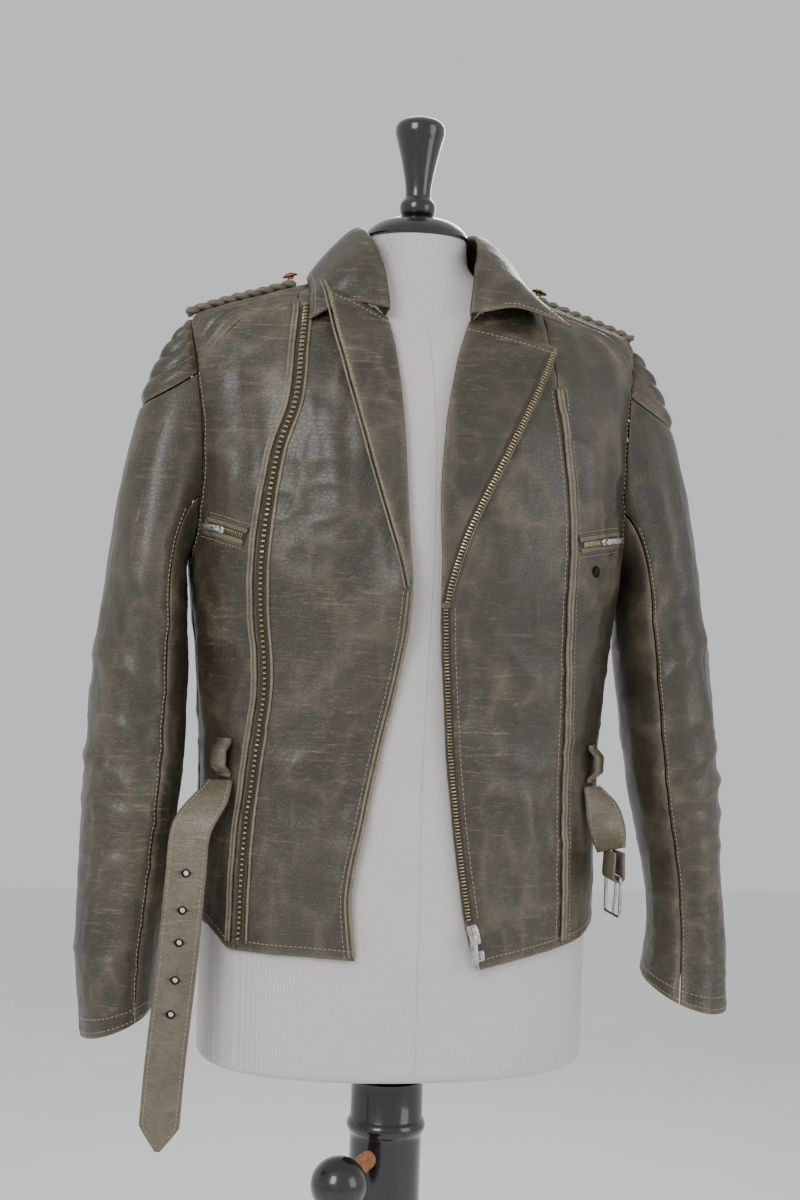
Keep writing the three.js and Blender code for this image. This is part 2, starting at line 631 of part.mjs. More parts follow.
function collar() {
  const stations = [...COLLAR_RIGHT, ...COLLAR_BACK, ...COLLAR_LEFT.slice().reverse()];
  const rail = (key) => new THREE.CatmullRomCurve3(stations.map((s) => V(...s[key])), false, 'centripetal');
  const rails = ['seam', 'roll', 'fall', 'edge'].map(rail);
  const count = 23;
  const grid = range(count).map((k) => {
    const [seam, roll, fall, edge] = rails.map((r) => r.getPoint(k / (count - 1)));
    const stand = seam.clone().lerp(roll, 0.5);
    const turn = roll.clone().lerp(fall, 0.3);
    turn.z = lerp(roll.z, fall.z, 0.12) + 1;
    const leaf = fall.clone().lerp(edge, 0.5);
    leaf.z += 1.5;
    return [seam, stand, roll, turn, fall, leaf, edge];
  });
  const side = (i, j, out) => {
    const at = (r, c) => grid[THREE.MathUtils.clamp(r, 0, count - 1)][THREE.MathUtils.clamp(c, 0, 6)];
    const round = at(i + 1, j).clone().sub(at(i - 1, j));
    const across = at(i, j + 1).clone().sub(at(i, j - 1));
    return grid[i][j].clone().addScaledVector(round.cross(across).normalize(), out);
  };
  const face = (out) => grid.map((row, i) => row.map((_, j) => side(i, j, out)));
  addMesh('collar', wall(face(COLLAR_HALF), face(-COLLAR_HALF)), LEATHER());
}
collar();

// Strips that follow a path over the leather: zips, welts and belt loops.
// The path is a list of [x, z] on the front; width is measured across it
function strip(name, path, { width, thick, out, count, material, lift = () => 0 }) {
  const curve = curveAt(path, count);
  const rings = curve.map(([x, z], i) => {
    const before = curve[Math.max(i - 1, 0)];
    const after = curve[Math.min(i + 1, count - 1)];
    const length = Math.hypot(after[0] - before[0], after[1] - before[1]);
    const across = [(after[1] - before[1]) / length, -(after[0] - before[0]) / length];
    const height = out + lift(i / (count - 1));
    const corner = (side, up) => {
      const px = x + (side * across[0] * width) / 2;
      const pz = z + (side * across[1] * width) / 2;
      return skin([frontAngle(px, pz), pz], height + up);
    };
    return [corner(-1, 0), corner(1, 0), corner(1, thick), corner(-1, thick)];
  });
  return addMesh(name, loft(rings), material);
}

const rowsOf = (seam, side, shift, heights) => heights.map((z) => [side * (seam(z) + shift), z]);
const zipHeights = [1474, 1434, 1382, 1337, 1266, 1205, 1134, 1080, 999, 940, 899];
strip('zip_right', rowsOf(zipLine, -1, -4, zipHeights),
  { width: 6, thick: 3, out: ON_STRIP + 0.2, count: 28, material: TEETH() });
strip('welt_right', rowsOf(zipLine, -1, 4.5, zipHeights),
  { width: 6, thick: 2, out: ON_STRIP, count: 26, material: LEATHER() });
const princessHeights = [1405, 1350, 1269, 1214, 1123, 1031, 940, 903];
strip('welt_left', rowsOf(princessLine, 1, 0, princessHeights),
  { width: 7, thick: 2, out: ON_STRIP, count: 20, material: LEATHER() });

// The other half of the zip: along the lapel's edge, then down the left front
const LAPEL_ZIP_LIFT = 6;
strip('zip_lapel', [[112, 1434], [107, 1425], [81, 1376], [52, 1320], [27, 1266], [16, 1230]],
  { width: 6, thick: 3, out: ON_STRIP + HIDE + LAY - 0.1, count: 16, material: TEETH(),
    lift: (t) => LAPEL_ZIP_LIFT * (1 - t * 0.86) ** 1.6 + 0.1 });
const openingHeights = [1190, 1131, 1080, 1033, 990, 954, 926];
strip('zip_left', openingHeights.map((z) => [leftOpening(z) + 4, z]),
  { width: 6, thick: 3, out: ON_STRIP + 0.3, count: 20, material: TEETH() });
strip('main_slider', [[45.5, 922], [51.5, 905]],
  { width: 11, thick: 6, out: ON_STRIP, count: 3, material: NICKEL() });
strip('zip_box', [[54, 899], [56, 890]],
  { width: 9, thick: 4, out: ON_STRIP, count: 2, material: NICKEL() });
strip('main_pull', [[46, 914], [49, 882]],
  { width: 7.5, thick: 1.6, out: ON_STRIP + 6.5, count: 3, material: NICKEL() });

// Chest pockets: a welted frame, its zip and the zip's pull
const PULL_OVER_ZIP = 5.9;
function pocket(word, inner, outer, pullAt) {
  const line = (t) => [lerp(inner[0], outer[0], t), lerp(inner[1], outer[1], t)];
  strip(`pocket_frame_${word}`, [line(0), line(0.5), line(1)],
    { width: 16, thick: 1.8, out: ON_STRIP, count: 6, material: LEATHER() });
  strip(`pocket_zip_${word}`, [line(0.06), line(0.5), line(0.94)],
    { width: 6, thick: 2.6, out: ON_STRIP + 2.4, count: 6, material: TEETH() });
  strip(`pocket_pull_${word}`, [line(pullAt), line(pullAt + 0.36)],
    { width: 6, thick: 1.4, out: ON_STRIP + PULL_OVER_ZIP, count: 3, material: NICKEL() });
}
pocket('right', [-161, 1260], [-193, 1271], 0.58);
pocket('left', [138, 1264], [184, 1272], 0.58);

// Round pieces that sit on the leather at [phi, z]
function onLeather(name, rows, place, out, material) {
  const turned = lathe(rows, 16);
  const normal = sectionNormal(...place);
  const turn = new THREE.Quaternion().setFromUnitVectors(V(0, 0, 1), normal);
  const at = skin(place, out);
  return addMesh(name, turned.applyQuaternion(turn).translate(at.x, at.y, at.z), material);
}
onLeather('snap_ring', [[0, 0], [5.5, 0], [5.5, 1.2], [4, 2], [0, 2]],
  [frontAngle(158, 1241), 1241], HIDE + REST, DARK_SNAP());

// Epaulettes: a plaited cord along each shoulder seam, held by a button near the collar
const BRAID_HALF = 8;
const BRAID_UP = 4.6;
const BRAID_PITCH = 12;
const BRAID_SINK = 1.7;
const YOKE_OUT = HIDE + 0.8 + RIB_RAISE + LAY;

function epaulette(side, word, metal) {
  const tip = skin([side * 88 * DEG, 1464], 0);
  const path = [tip.clone().add(V(side * 8, 0, -3)), skin([side * 88 * DEG, 1467], 0),
    skin([side * 88 * DEG, 1476], 0), skin([side * 88 * DEG, 1485], 0), skin([side * 86 * DEG, 1493], 0)];
  const curve = new THREE.CatmullRomCurve3(path, false, 'centripetal');
  const count = 20;
  const length = curve.getLength();
  const rings = range(count).map((k) => {
    const t = k / (count - 1);
    const point = curve.getPointAt(t);
    const along = curve.getTangentAt(t);
    const across = V(0, 1, 0);
    const up = along.clone().cross(across).normalize();
    if (up.z < 0) up.negate();
    const bulge = 1 - 0.18 * Math.abs(Math.sin((Math.PI * t * length) / BRAID_PITCH));
    const centre = point.addScaledVector(up, YOKE_OUT - BRAID_SINK + BRAID_UP);
    return range(8).map((j) => {
      const a = (2 * Math.PI * j) / 8;
      return centre.clone().addScaledVector(across, BRAID_HALF * bulge * Math.cos(a))
        .addScaledVector(up, BRAID_UP * bulge * Math.sin(a));
    });
  });
  addMesh(`epaulette_${word}`, loft(rings), LEATHER());
  const place = [side * 86 * DEG, 1492.5];
  onLeather(`button_${word}`, [[0, 0], [3, 0], [3, 2], [7.5, 2.4], [7.5, 4], [5, 5.6], [0, 6.2]],
    place, YOKE_OUT - BRAID_SINK + 2 * BRAID_UP + REST, metal);
}
epaulette(-1, 'right', COPPER());
epaulette(1, 'left', COPPER());

// Cuff zips lie over the back seam of each sleeve and end at the cuff
function onSleeve(name, surface, places, { width, thick, out, material }) {
  const rings = places.map(([psi, v], i) => {
    const centre = surface.point(psi, v);
    const normal = surface.normal(psi, v);
    const next = surface.point(...places[Math.min(i + 1, places.length - 1)]);
    const last = surface.point(...places[Math.max(i - 1, 0)]);
    const across = next.sub(last).normalize().cross(normal).normalize();
    const corner = (a, up) => centre.clone().addScaledVector(across, (a * width) / 2)
      .addScaledVector(normal, out + up);
    return [corner(-1, 0), corner(1, 0), corner(1, thick), corner(-1, thick)];
  });
  return addMesh(name, loft(rings), material);
}

const CUFF_PSI = -QUILT_END * (1 + CAP_GAP) - PSI_GAP / 2;
const OPEN_EDGE = 3.5 * DEG;
for (const [word, surface, spread] of [['right', rightSleeve, 0], ['left', leftSleeve, CUFF_SPREAD]]) {
  const up = [4.75, 5, 5.25, 5.5, 5.75, 5.97];
  const beside = spread > 0 ? OPEN_EDGE : 0;
  onSleeve(`cuff_zip_${word}`, surface, up.map((v) => [CUFF_PSI + beside + spreadAt(spread, v), v]),
    { width: spread > 0 ? 6 : 9, thick: 2.6, out: LAY, material: TEETH() });
  onSleeve(`cuff_pull_${word}`, surface, [[CUFF_PSI + beside, 4.8], [CUFF_PSI + beside, 5.12]],
    { width: 6, thick: 1.5, out: LAY + 3.1, material: NICKEL() });
}

// The belt: a band round the back in four loops, a hanging strap with holes at the
// wearer's right and the buckle's end at the left
const BELT_Z = 1042;
const BELT_WIDTH = 36;
const BELT_THICK = 3;

function backBand(name, from, to, middle, width, out, thick, count, material) {
  const rings = range(count).map((k) => {
    const phi = lerp(from, to, k / (count - 1));
    const low = [phi, middle - width / 2];
    const high = [phi, middle + width / 2];
    return [skin(low, out), skin(high, out), skin(high, out + thick), skin(low, out + thick)];
  });
  return addMesh(name, loft(rings), material);
}
backBand('belt_back', 112 * DEG, 248 * DEG, BELT_Z, BELT_WIDTH, ON_STRIP, BELT_THICK, 15, LEATHER());

function beltLoop(name, phi, width) {
  const rows = [-32, -26, -20, 20, 26, 32];
  const clear = [0.2, 0.2, BELT_THICK + 1, BELT_THICK + 1, 0.2, 0.2];
  const rings = rows.map((dz, i) => {
    const at = (a, up) => skin([phi + a, BELT_Z + dz], ON_STRIP + clear[i] + up);
    const half = width / 2 / section(phi, BELT_Z).length();
    return [at(-half, 0), at(half, 0), at(half, 1.8), at(-half, 1.8)];
  });
  return addMesh(name, loft(rings), LEATHER());
}
beltLoop('loop_back_left', 150 * DEG, 120);
beltLoop('loop_back_right', 210 * DEG, 120);

function band(name, path, thick, material, cut = null) {
  const rings = path.map(({ at, across, width }) => {
    const centre = V(...at);
    const wide = V(...across).normalize().multiplyScalar(width / 2);
    const deep = V(across[1], -across[0], 0).normalize().multiplyScalar(thick / 2);
    return [centre.clone().sub(wide).add(deep), centre.clone().add(wide).add(deep),
      centre.clone().add(wide).sub(deep), centre.clone().sub(wide).sub(deep)];
  });
  const solid = loft(rings);
  if (!cut) return addMesh(name, solid, material);
  const holes = cut.reduce((piece, hole) => piece.subtract(toManifold(hole)), toManifold(solid));
  return addMesh(name, fromManifold(holes), material);
}

const STRAP_TURN = [0.98, -0.19, 0];
const strapPath = [[-201, -84, 1000], [-205, -88, 960], [-208, -90, 915], [-211, -90, 872],
  [-214, -90, 838], [-218, -90, 790], [-221, -90, 738]];
const strapHoles = [[-205, 962], [-207, 929], [-209, 899], [-212, 868], [-214, 838]].map(([x, z]) => {
  const drill = new THREE.CylinderGeometry(3, 3, 20, 10);
  return drill.rotateY(11 * DEG).translate(x, -90, z);
});
band('belt_right', [
  { at: [-174.6, -61.8, 1041], across: [0.76, -0.65, 0], width: 26 },
  { at: [-184, -74, 1026], across: [0.9, -0.42, 0], width: 34 },
  ...strapPath.map((at) => ({ at, across: STRAP_TURN, width: BELT_WIDTH })),
  { at: [-222, -90, 716], across: STRAP_TURN, width: 5 }], BELT_THICK, LEATHER(), strapHoles);
band('belt_left', [
  { at: [172, -64.6, 1041], across: [0.76, 0.65, 0], width: 26 },
  { at: [179, -73, 1024], across: [0.9, 0.1, 0], width: 32 },
  { at: [184, -80, 1003], across: [0.8, -0.5, 0], width: 34 },
  { at: [187, -84, 984.6], across: [0.5, -0.85, 0], width: 35 },
], BELT_THICK, LEATHER());

function sideLoop(word, side) {
  const phi = side * 62 * DEG;
  const rows = [1080, 1076, 1069, 1055, 1049, 1045];
  const clear = [0.3, 1, 8, 8, 1, 0.3];
  const rings = rows.map((z, i) => {
    const at = (a, up) => skin([phi + a * 3.2 * DEG, z], ON_STRIP + clear[i] + up);
    return [at(-1, 0), at(1, 0), at(1, 1.8), at(-1, 1.8)];
  });
  return addMesh(`loop_${word}`, loft(rings), LEATHER());
}
sideLoop('right', -1);
sideLoop('left', 1);

// The buckle hangs edge-on from the strap's folded end
const BUCKLE = { x: 190, y: -84, top: 962, low: 926, half: 22, wire: 1.6 };
const bar = (a, b, r) => {
  const from = V(...a);
  const to = V(...b);
  const rodGeometry = new THREE.CylinderGeometry(r, r, from.distanceTo(to), 8);
  const turn = new THREE.Quaternion().setFromUnitVectors(V(0, 1, 0), to.clone().sub(from).normalize());
  const mid = from.add(to).multiplyScalar(0.5);
  return toManifold(rodGeometry.applyQuaternion(turn).translate(mid.x, mid.y, mid.z));
};

function buckle() {
  const { x, y, top, low, half, wire } = BUCKLE;
  const frameBars = [
    bar([x, y - half - wire, top], [x, y + half + wire, top], wire),
    bar([x, y - half - wire, low], [x, y + half + wire, low], wire),
    bar([x, y - half, top + 0.5], [x, y - half, low - 0.5], wire),
    bar([x, y + half, top + 0.5], [x, y + half, low - 0.5], wire),
    bar([x + 2, y, top - 8], [x, y, low], wire * 0.8),
  ];
  addMesh('buckle_frame', fromManifold(frameBars.reduce((a, b) => a.add(b))), NICKEL());
}
buckle();

// The fold of leather that the frame's top bar hangs in, with a tunnel for the bar
const FOLD = { half: 5.5, belly: 6.5, tall: 20, deep: 34, tunnel: 2.3, tunnelAt: -2 };

function buckleKeeper() {
  const { half, belly, tall, deep, tunnel, tunnelAt } = FOLD;
  const fold = new THREE.Shape();
  fold.moveTo(-half, 14);
  fold.lineTo(-belly, 0);
  fold.absarc(0, tunnelAt, belly, Math.PI, 2 * Math.PI);
  fold.lineTo(half, 14);
  fold.lineTo(half, tall);
  fold.lineTo(-half, tall);
  fold.closePath();
  const hole = new THREE.Path();
  hole.absarc(0, tunnelAt, tunnel, 0, 2 * Math.PI, true);
  fold.holes.push(hole);
  const keeper = new THREE.ExtrudeGeometry(fold, { depth: deep, bevelEnabled: false, curveSegments: 10 });
  keeper.rotateX(Math.PI / 2).translate(BUCKLE.x, BUCKLE.y + deep / 2, BUCKLE.top - tunnelAt);
  addMesh('buckle_keeper', keeper, LEATHER());
}
buckleKeeper();

// The dress form, drawn in from the jacket, whole and smooth
const formInset = profile([[780, 4], [1380, 4.5], [1425, 4.2], [1440, 3.4], [1456, 2.5],
  [1466, 2.1], [1478, 1.7], [1500, 1.7], [1515, 2.6], [1530, 3.5], [1560, 3.5]]);
const FORM_COLUMNS = 28;
const FORM_HEIGHTS = [780, 788, 850, 920, 1000, 1060, 1130, 1190, 1250, 1320, 1380,
  1420, 1443, 1455, 1462, 1468, 1477, 1487, 1497, 1505, 1513, 1525, NECK_TOP];

function form() {
  const rings = FORM_HEIGHTS.map((z, i) => range(FORM_COLUMNS).map((k) => {
    const phi = (2 * Math.PI * (k + 0.5)) / FORM_COLUMNS;
    const back = Math.cos(phi) < 0 && z > 1400 && z < 1490 ? 1.3 : 0;
    const inset = formInset(z) + back + (i === 0 ? 6 : 0);
    const point = section(phi, z).addScaledVector(sectionNormal(phi, z), -inset);
    if (i === 0 || z > 1530) point.z = z;
    return point;
  }));
  addMesh('form_bust', loft(rings), LINEN());
}
form();

addMesh('neck_cap', lathe([[0, NECK_TOP + REST], [NECK_RADIUS + 1.5, NECK_TOP + REST],
  [49, 1552], [46, 1558], [38, 1565], [24, 1570], [13, 1572], [16, 1577], [17, 1582], [15.5, 1588],
  [12.5, 1591], [12, 1596], [13.5, 1608], [17, 1625], [21, 1642], [23.5, 1652], [23.5, 1657],
  [19, 1663], [10, 1666.5], [0, 1667]]), BLACK_WOOD());

const BORE = POLE_RADIUS + POLE_CLEARANCE;
const FLANGE_TOP = FORM_BOTTOM - REST;
addMesh('form_flange', lathe([[BORE, FLANGE_TOP], [BORE, COLUMN_TOP + REST], [30, COLUMN_TOP + REST],
  [35, 759], [36, 764], [36, 774], [34, FLANGE_TOP], [BORE, FLANGE_TOP]]), BLACK_WOOD());
addMesh('pole', lathe([[0, 330], [POLE_RADIUS, 330], [POLE_RADIUS, FLANGE_TOP - REST],
  [0, FLANGE_TOP - REST]]), STEEL());
addMesh('base_plate', lathe([[0, 0], [BASE_RADIUS, 0], [BASE_RADIUS, BASE_RIM - 4],
  [BASE_RADIUS - 4, BASE_RIM], [120, 24], [60, 30], [0, 30]], 40), BLACK_WOOD());

// The clamp: a wooden screw through the column's wall with a turned knob outside
const CLAMP = { seat: V(0, 0, 692), radius: 8.5, out: V(-0.62, -0.76, -0.19).normalize(),
  knob: 26, reach: 88 };

function alongClamp(geometry, from) {
  const turn = new THREE.Quaternion().setFromUnitVectors(V(0, 1, 0), CLAMP.out);
  const place = CLAMP.seat.clone().addScaledVector(CLAMP.out, from);
  return geometry.applyQuaternion(turn).translate(place.x, place.y, place.z);
}

function rod(radius, start, end) {
  const cylinder = new THREE.CylinderGeometry(radius, radius, end - start, 20);
  return alongClamp(cylinder.translate(0, (end - start) / 2, 0), start);
}

const column = toManifold(lathe([[BORE, COLUMN_TOP], [BORE, 30 + REST], [60, 30 + REST],
  [60, 44], [46, 60], [COLUMN_RADIUS, 84], [COLUMN_RADIUS, 700], [COLUMN_RADIUS + 3, 708],
  [COLUMN_RADIUS + 3, 716], [COLUMN_RADIUS, 724], [COLUMN_RADIUS, COLUMN_TOP],
  [BORE, COLUMN_TOP]]));
const clampHole = toManifold(rod(CLAMP.radius + REST, 5, 60));
addMesh('stand_column', fromManifold(column.subtract(clampHole)), BLACK_WOOD());
addMesh('clamp_screw', rod(CLAMP.radius, POLE_RADIUS + 2.4, CLAMP.reach - 14), PALE_WOOD());
const knobBall = toManifold(alongClamp(new THREE.SphereGeometry(CLAMP.knob, 16, 10), CLAMP.reach));
const knobSocket = toManifold(rod(CLAMP.radius + REST, CLAMP.reach - 40, CLAMP.reach - 13.7));
addMesh('clamp_knob', fromManifold(knobBall.subtract(knobSocket)), BLACK_WOOD());

export default model;
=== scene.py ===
# %% [markdown]
# A worn leather jacket hangs filled out on a limbless dress form with a turned stand.
# The measured frame already holds each piece in its right place, as plain solids.
# This lesson dresses that frame: fine leather, seams, zips, braids, linen and light.
# The frame is loaded first, because every new piece rides on one of its bodies.

# %% Load the measured frame
import json
import math

import bpy
import numpy as np
from mathutils import Matrix, Vector


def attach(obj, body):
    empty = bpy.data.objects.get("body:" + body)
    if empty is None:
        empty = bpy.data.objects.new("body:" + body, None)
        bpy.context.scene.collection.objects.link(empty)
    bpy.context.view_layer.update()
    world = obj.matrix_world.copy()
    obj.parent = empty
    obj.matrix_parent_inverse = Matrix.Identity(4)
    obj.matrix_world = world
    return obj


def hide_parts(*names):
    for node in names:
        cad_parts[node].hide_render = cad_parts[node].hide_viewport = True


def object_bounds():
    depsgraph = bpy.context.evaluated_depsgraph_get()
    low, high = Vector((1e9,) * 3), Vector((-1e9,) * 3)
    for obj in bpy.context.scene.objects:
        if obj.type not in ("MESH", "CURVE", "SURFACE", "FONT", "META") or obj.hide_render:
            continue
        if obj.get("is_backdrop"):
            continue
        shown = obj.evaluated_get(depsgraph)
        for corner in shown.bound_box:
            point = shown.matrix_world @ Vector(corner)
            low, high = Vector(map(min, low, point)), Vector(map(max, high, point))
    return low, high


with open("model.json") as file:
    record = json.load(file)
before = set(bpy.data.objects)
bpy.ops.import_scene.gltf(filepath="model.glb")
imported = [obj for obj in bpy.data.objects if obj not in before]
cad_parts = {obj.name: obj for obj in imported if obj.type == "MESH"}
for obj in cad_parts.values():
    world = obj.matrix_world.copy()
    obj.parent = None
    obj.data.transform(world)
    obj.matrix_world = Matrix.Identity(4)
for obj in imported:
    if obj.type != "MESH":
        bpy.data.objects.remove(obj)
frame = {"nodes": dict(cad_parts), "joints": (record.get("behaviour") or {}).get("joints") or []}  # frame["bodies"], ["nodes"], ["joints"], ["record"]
cad_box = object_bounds()
print("frame box:", cad_box)

# %% [markdown]
# The photograph looks slightly up the jacket from the front, a little to its right.
# A camera is a place, a lens and a turn; here all three were measured on the picture.
# The picture is 1200 pixels tall, and the long side of the sensor is 36 mm.

# %% Camera
FOCAL_PIXELS = 1895
PICTURE_HEIGHT = 1200
CAMERA_PLACE = (-0.3472, -1.7662, 1.209)
LOOK_TURN = math.radians(-11)
CAMERA_ROLL = math.radians(2)

camera_data = bpy.data.cameras.new("photo_camera")
camera_data.lens = 36 * FOCAL_PIXELS / PICTURE_HEIGHT
camera_data.sensor_width = 36
camera_data.clip_end = 50
camera = bpy.data.objects.new("photo_camera", camera_data)
camera.matrix_world = (Matrix.Translation(CAMERA_PLACE) @ Matrix.Rotation(LOOK_TURN, 4, "Z")
                       @ Matrix.Rotation(math.pi / 2, 4, "X") @ Matrix.Rotation(CAMERA_ROLL, 4, "Z"))
bpy.context.collection.objects.link(camera)
bpy.context.scene.camera = camera
print("lens:", round(camera_data.lens, 2), "mm")

# %% [markdown]
# Shader maths is easier to read as sums than as boxes and lines.
# One small class wraps a socket: adding or multiplying two of them adds a Math node.
# Any other node comes from one method, which sets the node up and joins its sockets.

# %% A class for shader maths
class Wire:
    def __init__(self, tree, socket):
        self.tree = tree
        self.socket = socket

    def node(self, kind, settings=None, inputs=None, out=0):
        made = self.tree.nodes.new(kind)
        for key, value in (settings or {}).items():
            setattr(made, key, value)
        for key, value in (inputs or {}).items():
            if isinstance(value, Wire):
                self.tree.links.new(value.socket, made.inputs[key])
            else:
                made.inputs[key].default_value = value
        return Wire(self.tree, made.outputs[out])

    def maths(self, operation, first, second=None):
        inputs = {0: first} if second is None else {0: first, 1: second}
        return self.node("ShaderNodeMath", {"operation": operation}, inputs)

    def __add__(self, other):
        return self.maths("ADD", self, other)

    __radd__ = __add__

    def __mul__(self, other):
        return self.maths("MULTIPLY", self, other)

    __rmul__ = __mul__

    def __sub__(self, other):
        return self.maths("SUBTRACT", self, other)

    def __rsub__(self, other):
        return self.maths("SUBTRACT", other, self)

    def clamped(self):
        made = self.maths("ADD", self, 0.0)
        made.socket.node.use_clamp = True
        return made

    def between(self, low, high):
        return self.node("ShaderNodeMapRange", {"clamp": True},
                         {"Value": self, "From Min": low, "From Max": high})

    def mixed(self, dark, pale):
        made = self.node("ShaderNodeMix", {"data_type": "RGBA"}, {0: self}, out=2)
        for slot, colour in ((6, dark), (7, pale)):
            socket = made.socket.node.inputs[slot]
            if isinstance(colour, Wire):
                self.tree.links.new(colour.socket, socket)
            else:
                socket.default_value = (*colour, 1)
        return made


def linear(red, green, blue):
    """An sRGB colour of 0 to 255 as the linear one that a shader takes"""
    parts = [value / 255 for value in (red, green, blue)]
    return tuple(p / 12.92 if p <= 0.04045 else ((p + 0.055) / 1.055) ** 2.4 for p in parts)


def start_material(name, **constants):
    """A new material: its shader, and a wire of Object coordinates to build on"""
    material = bpy.data.materials.new(name)
    material.use_nodes = True
    tree = material.node_tree
    shader = tree.nodes["Principled BSDF"]
    for key, value in constants.items():
        shader.inputs[key.replace("_", " ")].default_value = value
    coordinates = tree.nodes.new("ShaderNodeTexCoord")
    return material, shader, Wire(tree, coordinates.outputs["Object"])


def plug(shader, **wires):
    for key, wire in wires.items():
        wire.tree.links.new(wire.socket, shader.inputs[key.replace("_", " ")])


def stretched(wire, stretch):
    """The same coordinates, squeezed along each axis by stretch"""
    if stretch is None:
        return wire
    return wire.node("ShaderNodeVectorMath", {"operation": "MULTIPLY"}, {0: wire, 1: stretch})


def noise(wire, scale, detail=3.0, roughness=0.5, stretch=None, distortion=0.0):
    """Soft noise; its scale counts bumps in a metre"""
    vector = stretched(wire, stretch)
    return wire.node("ShaderNodeTexNoise", {}, {"Vector": vector, "Scale": scale, "Detail": detail,
                                                "Roughness": roughness, "Distortion": distortion})


def cells(wire, scale, feature="F1", stretch=None):
    vector = stretched(wire, stretch)
    return wire.node("ShaderNodeTexVoronoi", {"feature": feature}, {"Vector": vector, "Scale": scale})


def bumped(height, distance, strength=1.0, under=None):
    inputs = {"Height": height, "Distance": distance, "Strength": strength}
    if under is not None:
        inputs["Normal"] = under
    return height.node("ShaderNodeBump", {}, inputs)


# %% [markdown]
# The cracks and the grain's hollows are also darkened in colour, as painted shade.
# The leather is an olive brown that years of wear have rubbed pale on every edge.
# A photograph pasted on would not hold up from other sides, so it is grown from noise:
# broad patches, fine scuffs and cracks, and a grain of small cells for the relief.
# Each mesh also carries its own wear, near its edges and on its creases' ridges.

# %% Leather
def leather(name, dark, middle, pale, rub=1.0):
    material, shader, where = start_material(name, Specular_IOR_Level=0.5)
    shader.inputs["Coat Roughness"].default_value = 0.32
    wear = where.node("ShaderNodeAttribute", {"attribute_name": "wear"}, out=2)
    patches = noise(where, 6.0, 5.0, 0.62, distortion=0.3).between(0.24, 0.76)
    clouds = noise(where, 42.0, 6.0, 0.62, distortion=0.8).between(0.30, 0.72)
    scuffs = noise(where, 60.0, 9.0, 0.74, stretch=(1.0, 1.0, 4.2), distortion=1.8).between(0.52, 0.68)
    scrapes = noise(where, 34.0, 8.0, 0.7, stretch=(0.55, 0.55, 7.0), distortion=0.9).between(0.57, 0.66)
    faded = noise(where, 3.2, 2.0, 0.5).between(0.42, 0.62)
    cracks = cells(where, 170.0, "DISTANCE_TO_EDGE", stretch=(1.0, 1.0, 1.5)).between(0.0, 0.10)
    grain = noise(where, 900.0, 4.0, 0.6)
    pebbles = cells(where, 620.0)
    base = (0.62 * patches + 0.16 * clouds + 0.08).clamped().mixed(dark, middle)
    rubbed = (scuffs * 0.34 * (0.15 + faded) + scrapes * 0.40 * (0.1 + faded)
              + wear * rub * (0.40 + 0.60 * clouds)).clamped()
    worn = rubbed.mixed(base, pale)
    # Painted shade: the colour is darkened along the cracks and in the grain's low points
    painted_shade = ((1 - cracks) * 0.16 + (1 - grain.between(0.35, 0.6)) * 0.16).clamped()
    colour = painted_shade.mixed(worn, tuple(part * 0.35 for part in dark))
    gloss = (0.44 + 0.20 * rubbed - 0.10 * patches + 0.10 * grain).clamped()
    coat = (0.42 - 0.36 * rubbed).clamped()
    soft = bumped(clouds, 0.0007, 0.5)
    split = bumped(cracks, 0.00035, 0.55, soft)
    fine = bumped(0.6 * grain + 0.4 * pebbles, 0.00030, 0.6, split)
    plug(shader, Base_Color=colour, Roughness=gloss, Coat_Weight=coat, Normal=fine)
    return material


LEATHER_DARK = linear(30, 26, 19)
LEATHER_MIDDLE = linear(76, 68, 52)
LEATHER_PALE = linear(150, 138, 111)
body_leather = leather("body_leather", LEATHER_DARK, LEATHER_MIDDLE, LEATHER_PALE, 0.62)
trim_leather = leather("trim_leather", linear(44, 38, 29), linear(86, 77, 60),
                       linear(158, 147, 122), 0.9)
strap_leather = leather("strap_leather", linear(54, 47, 36), linear(98, 88, 70),
                        linear(166, 155, 130), 0.9)
print("leathers:", body_leather.name, trim_leather.name, strap_leather.name)

# %% [markdown]
# Metal, thread, cloth and wood each have their own small habits.
# Zip teeth are brass rubbed bright on top, sliders are plated, buttons are coppered.
# Every one gets its colour, its gloss and its fine relief from noise at its own scale.

# %% Metals
def metal(name, dull, bright, roughness, scale=180.0, scratch=0.00004):
    material, shader, where = start_material(name, Metallic=1.0)
    stain = noise(where, scale, 5.0, 0.65).between(0.35, 0.65)
    marks = noise(where, scale * 8, 3.0, 0.6, stretch=(1.0, 1.0, 0.25))
    plug(shader, Base_Color=stain.mixed(dull, bright),
         Roughness=(roughness + 0.18 * (1 - stain) + 0.08 * marks).clamped(),
         Normal=bumped(marks, scratch, 0.5))
    return material


tooth_metal = metal("tooth_metal", linear(112, 98, 70), linear(206, 194, 160), 0.26, 900.0)
silver_metal = metal("silver_metal", linear(150, 150, 148), linear(222, 221, 217), 0.20, 260.0)
copper_metal = metal("copper_metal", linear(138, 86, 62), linear(206, 150, 118), 0.26, 240.0)
bronze_metal = metal("bronze_metal", linear(84, 62, 38), linear(158, 126, 84), 0.30, 240.0)
steel_metal = metal("steel_metal", linear(150, 150, 148), linear(172, 172, 170), 0.26, 60.0)
snap_metal = metal("snap_metal", linear(20, 19, 18), linear(58, 56, 53), 0.34, 300.0)


